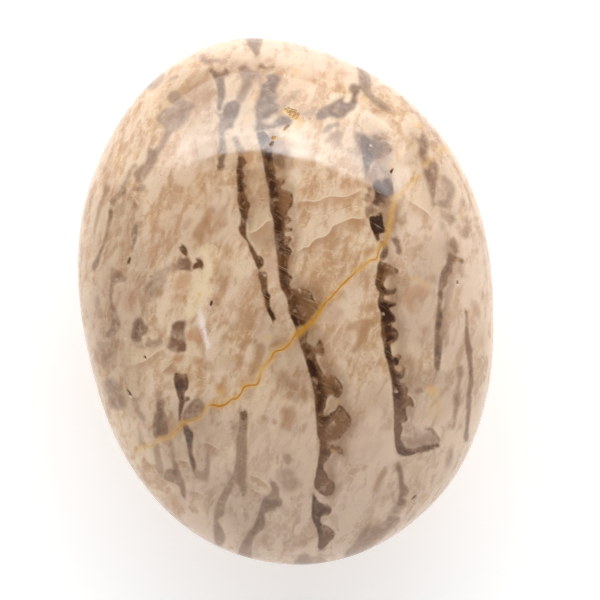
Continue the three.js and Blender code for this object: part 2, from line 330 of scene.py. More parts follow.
VEIL_AND_REFLECTION = (
    # Grey veils beside and above the bands
    (0.95, 0.3, (
        -0.6, 21, -0.3, 22, 0, 24.2, 0.9, 25.8, 1.1, 26.6, 1.8, 27, 2, 27.6, 3, 27.6, 3.6, 27, 3.2, 26.4,
        2.8, 25.6, 3, 24.8, 2.4, 24.2, 3, 23.6, 2.6, 23, 2, 22.8, 1.2, 22.3, 0.6, 22.2, 0.8, 21.8, 1.6, 21.6,
        2.2, 22.1, 3, 22.4, 4.2, 21.7, 4, 21.3, 2.2, 21.1,
    )),
    (0.6, 0.4, (1, 20.9, 1.7, 20.6, 2.4, 19, 2.2, 18.6, 1.2, 18.6)),
    (0.95, 0.22, (
        -4.8, 24, -4.6, 23.2, -4.9, 22.4, -5.2, 20, -5.6, 19, -4.5, 19, -4.3, 21.4, -3.8, 21.9, -3.2, 21.9,
        -2.9, 22.6, -2.4, 23.2, -1.8, 24.8, -2.3, 25.2, -3.9, 24.8, -4.2, 24,
    )),
    (0.6, 0.25, (-3.15, 18.4, -3.3, 19.6, -3.5, 20.8, -2.9, 20.8, -2.6, 20, -2.3, 18.9, -2.6, 18.3)),
    (0.55, 0.3, (
        -5.8, 31.4, -5.6, 30.4, -5, 30.1, -4.2, 30.2, -3.3, 30.2, -3.5, 30.6, -4.9, 30.8, -5.2, 31.4,
    )),
    (0.62, 0.25, (
        -10.4, 27.3, -9.6, 27.6, -9.1, 27.3, -8.5, 26.3, -7.4, 25.4, -7.9, 24.8, -8.2, 24.2, -9.8, 22.9,
        -11.2, 22, -12.1, 20.8, -15.3, 17.1, -16, 17.3, -16.2, 18.2, -15.4, 19, -14.4, 19.6, -13.9, 21,
        -13, 21, -11.5, 22.9, -11.7, 23.6, -12.3, 24.3, -11.4, 25.4, -10.1, 25.8, -10.5, 26.6,
    )),
    (0.5, 0.2, (-9.7, 29.2, -9.1, 29.5, -8.8, 29.3, -9.2, 29, -10.6, 28.7)),
    (0.65, 0.25, (
        -1.3, 28.4, -1.2, 27.2, -1.4, 26.7, -2, 26, -2.2, 25.2, -1.6, 24.8, -1.2, 25, 0.1, 27, 1.3, 27.6,
        1, 28.1, 0.2, 28.6, -0.4, 29.3, -1.4, 29.1,
    )),
    (0.4, 0.3, (2.6, 23.2, 3.4, 24, 4.6, 24.7, 5.5, 25.3, 5.7, 24.7, 4.4, 24, 3.4, 23.3)),
    (0.9, 0.25, (
        7.1, 21.3, 7.3, 22.2, 9.2, 22.9, 10.9, 23.5, 10.8, 23, 11.2, 22.7, 11.6, 22.9, 11.9, 23.6, 11.7, 24.4,
        12, 24.9, 12.6, 24.8, 13.1, 24.2, 12.5, 23.2, 12.3, 22.4, 11.8, 21.7, 11, 21.4, 10.4, 21, 9.6, 21,
        8.8, 21.3, 7.6, 21.1,
    )),
    (0.4, 0.25, (5.3, 22, 6.2, 22.6, 7.2, 22.8, 7.3, 22.2, 6.4, 21.8)),
    (0.65, 0.22, (8.2, 20.4, 9, 20.5, 9.8, 20.5, 9.8, 20, 9, 19.9, 8.4, 19.6, 7.6, 19.4)),
    (0.5, 0.45, (
        9.6, 19.6, 10.2, 19.4, 9.8, 18.4, 9.8, 17.4, 11, 17, 12, 16.4, 11.9, 15.4, 9.4, 17, 8.6, 17.4,
        8.6, 18.3, 7.6, 18.4, 8.4, 19.2,
    )),
    (0.85, 0.3, (
        11.6, 18.9, 13.4, 18.2, 14.2, 18.4, 15.2, 17.6, 15.3, 16.4, 14.6, 15.4, 13.7, 14.6, 15, 13.6,
        15.2, 12, 14.6, 10.6, 13.6, 10, 12.6, 10.8, 12.9, 12, 12.3, 12.8, 11.6, 16.4,
    )),
    (0.8, 0.15, (11.6, 11.2, 11.9, 11.3, 12.2, 10.8, 12.1, 10.3, 11.7, 10.2, 11.4, 10.4)),
    (0.8, 0.12, (11.9, 11.9, 12.4, 12.1, 12.5, 11.7, 12.2, 11.4)),
    (0.35, 0.3, (13.8, 17.8, 14.6, 18.8, 15.3, 18.3, 15.6, 17.2, 14.8, 17.4)),
    # Right side
    (0.85, 0.28, (
        18.2, 17.8, 18.6, 17.2, 19.2, 17, 19.8, 17.5, 20.1, 16.8, 20.3, 16, 19.9, 15.2, 20, 14.3, 20.6, 14,
        20.9, 13.2, 20.4, 11.2, 20.2, 10, 19.8, 9, 20, 8.6, 19.6, 8.4, 19.4, 9, 19.4, 10, 19, 12.6, 19, 13.6,
        18.8, 15.3, 19, 15.8,
    )),
    (0.65, 0.3, (
        20.9, 11.2, 21.4, 11.8, 22, 11.4, 22.5, 10.4, 22.4, 9.6, 21.9, 8.8, 21.7, 7.9, 21.2, 7.8, 20, 8.6,
        20.3, 9.2, 21, 9, 21.3, 9.8,
    )),
    (0.35, 0.4, (20.2, 10.6, 21.2, 10.4, 21.2, 9.2, 20.2, 9.3)),
    (0.6, 0.25, (20.3, 7.3, 20.6, 7.7, 22.1, 6.4, 21.7, 5.9, 21.1, 5.8, 20.8, 6.6)),
    (0.35, 0.3, (20, 6.6, 20.6, 6.2, 20.6, 5.2, 20, 5.2)),
    (0.65, 0.22, (20.9, 4, 21.4, 4.3, 21.7, 3.6, 21.6, 2.3, 21.2, 2.2, 21, 2.9, 20.6, 3.3)),
    (0.5, 0.22, (23.4, 6.6, 23.3, 3.9, 22.6, 3.9, 22.4, 4.6, 22.9, 5.4)),
    (0.4, 0.2, (23, 8.9, 23.5, 8.9, 23.5, 8, 23.1, 7.8)),
    (0.7, 0.15, (21.6, 1.7, 22.1, 1.4, 22.1, 0.9, 21.8, 0.9)),
    (0.35, 0.3, (21.5, 0.8, 22.1, 0.4, 21.9, 0, 22.4, -0.9, 21.4, -0.8, 21.1, -0.2)),
    (0.2, 0.5, (
        16.3, -11, 17, -11, 17.4, -11.6, 18, -12, 18.2, -12.6, 17.8, -14.3, 17.1, -14.8, 16.6, -14.4,
        16.4, -13.4, 15.9, -13, 15, -13.4, 14.2, -12.8, 14.2, -12.2, 15, -11.6, 15.8, -11.6,
    )),
    (0.55, 0.2, (13.7, -13.5, 14.4, -13.3, 14.7, -13.7, 14.2, -14, 13.6, -13.9)),
    (0.7, 0.25, (
        19.1, -11.6, 19.9, -11.4, 20, -12, 19.2, -14, 18.8, -16, 18.4, -16.9, 17.6, -19, 17.3, -19, 17.7, -18,
        18.3, -15, 18.8, -13.8, 19.1, -12.6,
    )),
    (0.35, 0.4, (11.5, -17.4, 12.6, -17.5, 15.2, -20.2, 13.8, -20.2, 12.4, -20.3, 11.4, -19.4, 11.4, -18.4)),
    (0.4, 0.3, (15.8, -23.8, 17, -21, 17, -22, 16.5, -23.4)),
    # Painted dark reflection: a thin grey line just inside the right rim
    (0.3, 0.16, (
        17.6, 22.5, 19, 20.8, 20.9, 18, 22.8, 14, 24, 10, 24.6, 6, 24.8, 2, 24.6, -2, 24.2, -4.6, 24.6, 1,
        24.4, 5, 23.8, 9.4, 22.5, 13.6, 20.7, 17.4, 18.8, 20.2,
    )),
    # Left side
    (0.6, 0.25, (
        -17.9, 16.9, -17, 18.3, -16.6, 19, -15.9, 19.5, -15.5, 19.2, -16.2, 18.8, -16.5, 18.2, -17, 17.5,
        -17.3, 16.9,
    )),
    (0.35, 0.3, (-21.6, 16.6, -23.2, 13.4, -22.9, 13.4, -22.3, 14.7, -21.6, 15.9)),
    (0.35, 0.35, (-19, 14.8, -18, 14.9, -17.6, 14.6, -18.2, 14, -18.4, 13.2, -19, 13.2)),
    (0.95, 0.2, (
        -13.8, -0.4, -12.7, -0.6, -12.8, -0.9, -13.2, -2, -13.3, -4.2, -14, -4.2, -15, -4, -15.5, -3.4,
        -15.3, -2.9, -14.8, -1.8, -14.5, -0.8,
    )),
    (0.5, 0.25, (-19.5, -2, -19.4, -2.6, -18.8, -3, -17.6, -3.1, -18.1, -2.4, -18.8, -2.4)),
    (0.9, 0.2, (
        -15, -12.7, -15.2, -11.9, -14.3, -11, -13.6, -10.4, -12.9, -10.2, -12.3, -10.7, -12.1, -11.4,
        -12.5, -12.1, -13.4, -12.6,
    )),
    (0.9, 0.2, (
        -11.3, 7.3, -10.95, 6.6, -10.7, 5.9, -10.9, 5.4, -11.6, 5.5, -12.4, 5.7, -12.8, 6.2, -12.2, 7.3,
        -11.8, 7.1,
    )),
    (0.5, 0.4, (
        -17, 4.6, -16.2, 5.2, -15.6, 6, -14.6, 6.3, -12.6, 6.8, -12.4, 5.7, -13, 5.7, -14, 5.4, -14.6, 4,
        -15.8, 2.9, -16.6, 3.1, -17, 3.6,
    )),
    (0.9, 0.22, (
        -21.2, 5.2, -21.7, 2.4, -21.7, 1.4, -22.2, 0, -22.8, -0.5, -22.9, -1, -22, -1, -20.8, 0, -20.9, 1.8,
        -21.3, 3, -21.1, 4.4, -20.8, 5.2,
    )),
    (0.5, 0.3, (-23.2, 4.2, -22.8, 4.2, -22.7, 3, -22.8, 1.2, -23.2, 1.6)),
    (0.5, 0.5, (-24.2, -2, -23.4, -1.2, -22.4, -1.6, -21.6, -2, -22.4, -4.2, -23.6, -4.8, -24.2, -4)),
    (0.7, 0.4, (-24, -6.2, -23, -6, -22.2, -6.8, -21.6, -9.4, -22.4, -10, -23.6, -9.6, -23.9, -8)),
    (0.55, 0.25, (
        -20.9, -8.8, -20.2, -8.9, -20.1, -10, -19.6, -11.6, -19.8, -12, -20.2, -11.8, -20.5, -10.6,
    )),
    (0.45, 0.22, (-20.6, -12.9, -20.3, -13, -20.5, -14.9, -20.9, -14.7)),
    (0.4, 0.3, (-17.9, -8.6, -17.1, -8.5, -17, -9.4, -17.9, -9.7)),
    (0.35, 0.15, (-17.05, -14.4, -16.75, -14.4, -16.75, -17, -17.05, -17)),
    # Foot
    (0.5, 0.5, (-4.8, -20.8, -3.6, -20.4, -2.6, -21, -2.2, -22.6, -2.8, -23.4, -4.2, -23.2, -4.6, -22)),
    (0.5, 0.25, (-3.6, -18.8, -3.1, -18.6, -2.7, -18.9, -2.5, -19.6, -2.9, -20, -3.5, -20)),
    (0.45, 0.3, (-9.3, -14, -8.7, -13.6, -8.8, -16.8, -9.3, -17, -9.2, -15.6)),
    (0.6, 0.3, (9.2, -27, 9.4, -27.8, 8.8, -28.4, 8, -28.6, 8, -28)),
    (0.45, 0.25, (2.9, -8.5, 3.4, -8.3, 3.7, -9.2, 3.4, -9.9, 3, -9.6)),
    (0.6, 0.25, (0.6, 3, 1.1, 3, 1.1, 2.3, 0.8, 1.9, 0.5, 2.3)),
    (0.35, 0.5, (0.8, 1.6, 1.4, 2.8, 1.9, 3, 2.1, 1.6, 1.8, 1)),
)

DARK = (
    # Cores of the bands
    (0.4, 0.5, (-8.2, -24, -5.4, -24, -4.4, -27, -5, -31.4, -8, -31.4)),
    (0.4, 0.5, (-3.6, -27, -1.6, -24.4, 0.4, -25, -0.6, -29, -3.4, -33, -5, -31)),
    (0.5, 0.35, (11.7, 18.4, 13.4, 18.2, 14.6, 17.2, 14.4, 15.8, 13, 15, 12, 15.4)),
    (0.45, 0.25, (12.1, 16.2, 13, 15.8, 13.2, 14.6, 13.6, 13.6, 12.9, 12.8, 12.3, 14.2)),
    (0.75, 0.3, (12.6, 12.6, 14.2, 13, 15, 11.8, 14.7, 10.6, 13.4, 9.9, 12.6, 10.8)),
    (0.9, 0.3, (0.2, 17.9, 0.4, 17, 0.9, 17, 1, 17.6, 0.6, 18)),
    (0.6, 0.3, (-0.1, 16.8, -0.1, 15, 0.5, 14.9, 0.8, 15.6, 0.2, 17)),
    (1, 0.35, (0, 14.6, 0.1, 12.6, 0.8, 12.8, 0.9, 13.8, 0.5, 14.7)),
    (0.6, 0.3, (-0.2, 11.8, -0.2, 10.8, 0.2, 10.3, 0.9, 10.4, 0.3, 11.7)),
    (0.8, 0.3, (0.1, 9.9, -0.1, 8.6, 0.2, 8, 0.7, 8.4, 0.9, 9.4, 0.5, 9.9)),
    (0.4, 0.3, (-0.2, 7.8, -0.2, 6.8, 0.4, 6.8, 0.9, 7.4, 0.4, 8)),
    (0.9, 0.25, (0, 6.7, 0, 6.1, 0.4, 6.1, 0.4, 6.6)),
    (0.55, 0.3, (0.7, 6.2, 0.8, 5.5, 1.3, 5.5, 1.4, 6, 1.1, 6.3)),
    (0.6, 0.3, (-0.3, 3.6, -0.3, 1.2, 0.2, 1.8, 0.4, 3, 0.2, 3.8)),
    (0.75, 0.25, (0, -0.2, 0.1, -0.8, 0.4, -0.6, 0.3, 0.1)),
    (1, 0.3, (0.15, -2, 0.4, -3.4, 0.8, -3.6, 0.8, -2.8, 0.4, -2)),
    (0.5, 0.4, (0.7, -3.6, 1.6, -3.4, 1.9, -2.8, 1, -2.9)),
    (0.3, 0.4, (1.8, 0.4, 2.4, 0, 2.3, -1.3, 1.8, -1)),
    (0.3, 0.4, (0.8, -5.2, 1.9, -6.4, 2.2, -7.4, 1.6, -7.6)),
    (1, 0.4, (1.1, -7.6, 1.2, -9.4, 1.9, -9.9, 2.5, -9.6, 1.8, -7.6)),
    (0.7, 0.3, (1.7, -11, 1.9, -11.6, 2.4, -11.6, 2.4, -10.9)),
    (0.6, 0.35, (1.5, -11.8, 1.5, -13.2, 1.4, -14.2, 2, -14, 2.8, -12.4, 2.3, -11.8)),
    (0.55, 0.35, (3.4, -11.2, 4.2, -12.8, 4.6, -12.4, 4.2, -11.4)),
    (0.7, 0.35, (1.4, -14.8, 1.6, -15.6, 2.4, -15.6, 3.9, -14.4, 3.4, -14.2, 2.4, -14.9)),
    (0.35, 0.3, (0.9, -16.8, 0.8, -17.2, 1.2, -17.2, 1.2, -16.8)),
    (0.4, 0.3, (1.1, -19, 1.1, -19.7, 1.8, -19.6, 1.9, -19)),
    (0.5, 0.25, (0.4, -20.8, 0.3, -21.2, 0.9, -21.1, 0.9, -20.6)),
    (0.6, 0.3, (-0.8, -24.2, -1, -25.4, -0.5, -25.6, -0.4, -24.8)),
    (0.7, 0.3, (-1, -26.4, -1.1, -27.6, -0.8, -28.2, -0.4, -27.4, 0.4, -26.6, 0.9, -26.3, 0, -25.8)),
    (0.6, 0.3, (-3.2, 17.2, -3.5, 16.4, -3, 16.2, -2.7, 16.7)),
    (0.8, 0.3, (-3.6, 16.2, -3.7, 15, -3.7, 14.2, -3.2, 14, -3.1, 15, -2.9, 15.9)),
    (0.45, 0.25, (-3.6, 13.2, -3.7, 12.7, -3.3, 12.8)),
    (0.7, 0.3, (-3.8, 11.8, -3.9, 10.9, -3.5, 10.7, -3.3, 11.3)),
    (0.7, 0.2, (-4.1, 9, -4.1, 8.2, -3.8, 8, -3.7, 8.8)),
    (0.4, 0.3, (-3, 5.4, -3, 4.8, -2.5, 4.7, -2.4, 5.2)),
    (0.6, 0.25, (-2.8, 1.5, -2.8, 1, -2.3, 0.5, -2.1, 0.9, -2.4, 1.4)),
    (0.8, 0.22, (-2.6, -0.6, -2.4, -1.6, -2, -2.2, -2.2, -0.6)),
    (1, 0.12, (
        11.5, 8.2, 12.6, 8.5, 13.1, 8.6, 13.2, 8, 13.1, 7.2, 13.4, 6.35, 12.4, 6.2, 11.85, 6.2, 11.65, 7.2,
    )),
    (0.95, 0.25, (12.9, 11.4, 13.4, 11.4, 14, 10.8, 13.4, 10.7)),
    (0.8, 0.25, (12.4, 10.1, 12.9, 10.4, 13.3, 9.8, 13, 9.5, 12.6, 9.6)),
    (0.35, 0.5, (12.7, 12.4, 13.2, 12.4, 13.7, 11.4, 13, 11.2)),
    (0.5, 0.2, (12.1, 5.9, 12.2, 5.4, 12.5, 5.5, 12.5, 6)),
    (0.4, 0.3, (12.3, 3.3, 12.9, 3.4, 13.1, 4.2, 12.6, 3.9)),
    (0.5, 0.25, (14.2, 5.1, 14.8, 5.1, 14.8, 4.6, 14.4, 4.6)),
    (0.5, 0.3, (11.9, 2.6, 11.7, 1.6, 11.9, 1.1, 12.3, 1.6, 12.2, 2.3)),
    (0.8, 0.28, (11.1, 0, 11.2, -0.6, 11.8, -0.4, 12.2, -0.7, 12.9, -1.3, 12.6, -1.5, 11.9, -1.2)),
    (0.5, 0.2, (12.7, -0.8, 13.4, -0.8, 13.3, -1.2, 12.9, -1.3)),
    (1, 0.28, (11.2, -2.2, 11.1, -3.4, 11, -4.6, 12.7, -4.7, 12.7, -4, 12.2, -3.2, 12.9, -2.7)),
    (0.9, 0.28, (11.2, -5.2, 11.4, -6, 12, -6, 12.6, -6, 11.9, -5.2)),
    (1, 0.28, (11.2, -6.8, 12.1, -7.1, 12.3, -6.5, 11.8, -6.3)),
    (0.85, 0.3, (10.9, -7.6, 11.1, -10, 11.5, -10, 11.4, -8.6, 11.5, -7.6)),
    (1, 0.22, (11.7, -9.2, 11.8, -10.1, 12.2, -10.1, 12.5, -9.5, 12.3, -9.1)),
    (0.9, 0.3, (11.1, -10.2, 11.4, -12.8, 11.8, -12.3, 11.6, -11.2, 11.6, -10.6)),
    (0.6, 0.25, (11.7, -11.8, 12.3, -11.8, 12.7, -11.4, 12.2, -11.4)),
    (0.6, 0.3, (11.1, -13.4, 11.1, -14.4, 11.8, -14.2, 12, -13.4)),
    (0.5, 0.25, (11.8, -15.4, 12.2, -15.4, 12.1, -16.4, 12, -17, 11.7, -16.4)),
    (0.6, 0.3, (10.5, -20.2, 10.6, -21, 12.2, -21.2, 11.6, -20.6, 11, -19.8)),
    (0.4, 0.25, (13.4, -20.6, 15, -20.6, 15.2, -20.9, 13.4, -21.1)),
    (0.7, 0.2, (12.5, -10.2, 12.7, -10.2, 12.9, -10.5, 12.7, -10.5)),
    (0.4, 0.3, (-11.9, 8.5, -11.5, 8.6, -11.2, 7.8, -11.6, 7.6)),
    (0.4, 0.2, (-10.7, 5.8, -10.4, 6.3, -9.8, 6.2, -9.6, 5.8, -10.2, 5.6)),
    (0.9, 0.28, (-15.2, -7.6, -15.3, -8.6, -14.9, -8.8, -14.8, -7.8)),
    (0.8, 0.25, (-14.5, -8.3, -14.1, -8.9, -14.4, -9, -14.8, -8.7)),
    (0.6, 0.2, (-14.9, -9.3, -14.5, -9.9, -14.8, -10.3, -15, -10)),
    (0.6, 0.3, (-14.9, -13.8, -14.2, -14.2, -14.5, -15, -14.8, -16)),
    (0.4, 0.3, (-14.9, -16.8, -14.5, -17, -14.7, -18, -14.9, -17.8)),
    (0.7, 0.25, (-7.9, -12.8, -7.2, -12.7, -7.3, -13.6, -7.9, -13.5)),
    (0.4, 0.25, (-17.3, -18.4, -17, -18.2, -16.8, -18.9, -17.2, -19)),
    (0.4, 0.2, (-19.9, 14.3, -19.6, 14.4, -19.5, 13.6, -19.9, 13.2)),
    (0.55, 0.25, (18.4, -2, 18.8, -2, 18.7, -2.8, 18.3, -2.8)),
    (0.55, 0.25, (17.9, -4.6, 18.5, -4.6, 18.3, -5.2, 17.8, -5.2)),
    (0.45, 0.25, (17.6, -5.8, 18.2, -5.9, 17.8, -6.8, 17.3, -6.6)),
    (0.5, 0.25, (17, -8.8, 17.5, -8.8, 17.3, -9.8, 16.8, -9.6)),
)

WARM = (
    # Orange-brown staining of the feldspar
    (0.15, 1.6, (
        -14.5, 15, -12, 17.6, -8, 18, -7, 15, -8, 11, -9.4, 7.6, -12.5, 9.6, -15.5, 8.5, -17, 11, -15.6, 13,
    )),
    (0.4, 0.35, (-8.1, 15.6, -7.9, 15, -8.8, 13.3, -9.6, 12.8, -10.6, 13.6)),
    (0.55, 0.2, (
        -15.3, 14.9, -14.8, 14.7, -14.3, 13.9, -14.4, 13.2, -15, 12.8, -16.4, 13.1, -14.9, 13.5, -14.9, 14.2,
    )),
    (0.5, 0.3, (-15.8, 9, -15, 10.6, -14.5, 11.2, -14, 12, -13.5, 12, -14.4, 10.4, -15.3, 9, -16, 8.7)),
    (0.35, 0.25, (-13.9, 13, -13.9, 13.8, -13.4, 14.4, -13, 14, -12.9, 13.3, -13.3, 12.9)),
    (0.6, 0.25, (-13.6, 3.3, -13.4, 4.1, -12, 5.2, -11.3, 5.2, -11.8, 3.7, -12.4, 3.3)),
    (0.35, 0.25, (-14.3, 2.6, -13.8, 3, -12.1, 2.3, -12.4, 1.9, -13.2, 2.2, -14.2, 2)),
    (0.45, 0.18, (-17.8, 2.9, -17.2, 2.9, -17.2, 2.2, -17.5, 1.8)),
    (0.4, 0.3, (-19.6, 3.9, -18.5, 4, -18.3, 3.2, -18.9, 1.5, -19.6, 1.6, -20, 2.6)),
    (0.3, 0.25, (-20.8, 3.2, -20.4, 4.2, -20, 4.2, -20.2, 3.2, -20.6, 2.8)),
    (0.7, 0.25, (-12.3, -1.8, -11.4, -1.5, -11, -2, -11, -3.7, -11.6, -3.7, -12.2, -3.2, -12.9, -2.9)),
    (0.6, 0.25, (-12.8, -5.5, -12.2, -5.2, -11.5, -5.4, -11.4, -6.3, -12, -6.2, -12.6, -6)),
    (0.55, 0.2, (-12.9, -8.6, -12.2, -8.4, -12.1, -9, -12.7, -9)),
    (0.35, 0.25, (-14.9, -4.7, -13.7, -4.6, -13.5, -5.1, -14.9, -5.5, -15.2, -5.1)),
    (0.55, 0.35, (-10.4, -9, -9.3, -9, -9.2, -10.6, -10, -10.3)),
    (0.35, 0.3, (-17.2, -12.4, -16.2, -12.2, -15.9, -13, -16.4, -13.8, -17.4, -13.9, -18.4, -13.8)),
    (0.45, 0.3, (-7.8, -9.4, -7, -8.4, -6.4, -8.6, -5.4, -8.8, -5.2, -9.4, -6.4, -9.4, -7.2, -9.9)),
    (0.4, 0.4, (-18.8, -21.8, -17.8, -21.4, -16.6, -23.4, -17.4, -24, -18.2, -23.4)),
    (0.3, 0.4, (8.6, 12.2, 8.7, 12.9, 10.2, 13.5, 11.2, 13.3, 11.6, 12.6, 10.8, 12, 9.6, 11.8)),
    (0.5, 0.25, (7.1, 10.6, 7.5, 11.3, 7.7, 11.6, 8.3, 11.4, 8.9, 11.3, 8.3, 10.9, 7.8, 10.3, 7.3, 10.1)),
    (0.5, 0.25, (9.2, 10.2, 10, 11.5, 10.9, 11.5, 10.4, 11.1, 9.8, 10.5, 9.4, 10)),
    (0.4, 0.35, (3.2, 16, 4, 17.3, 4.7, 17.4, 5.5, 16.9, 5.3, 16.2, 4.4, 15.8)),
    (0.6, 0.25, (10.2, 4.3, 10.6, 4.6, 11.4, 4.6, 11.9, 4.3, 10.5, 3.7)),
    (0.5, 0.2, (8.2, 2.5, 8.5, 3, 9, 2.9, 8.8, 2.5)),
    (0.4, 0.4, (2.2, -1.4, 3, -1.2, 4.1, -1.6, 3.6, -2.5, 2.6, -2.8, 1.8, -2.6)),
    (0.6, 0.35, (
        14, -1.7, 14.8, -1, 16.4, -0.9, 17.4, -1.8, 16.8, -2.4, 15.9, -2.6, 15.4, -3.2, 15.1, -4.1, 14.7, -4,
    )),
    (0.3, 0.25, (16.2, 0.4, 16.4, 0.9, 16.9, 0.4, 16.5, 0.1)),
    (0.3, 0.4, (5, 26.4, 6, 26.7, 7, 26.8, 8.2, 26, 8, 25.6, 5.6, 25.3)),
    (0.25, 0.4, (8, 27, 11, 26.7, 12.6, 25.9, 11.4, 25.7, 10, 25.6, 8.2, 26.4)),
    (0.6, 0.2, (0.9, -23.1, 1.4, -22.9, 1.7, -23.3, 1.4, -23.7, 0.9, -23.6)),
    (0.5, 0.25, (-16.7, -20.8, -16.2, -20.8, -16.4, -22, -16.7, -21.5)),
    (0.35, 0.4, (22.3, -8.4, 23, -8, 23.2, -9, 22.6, -9.8, 22.2, -9.4)),
)

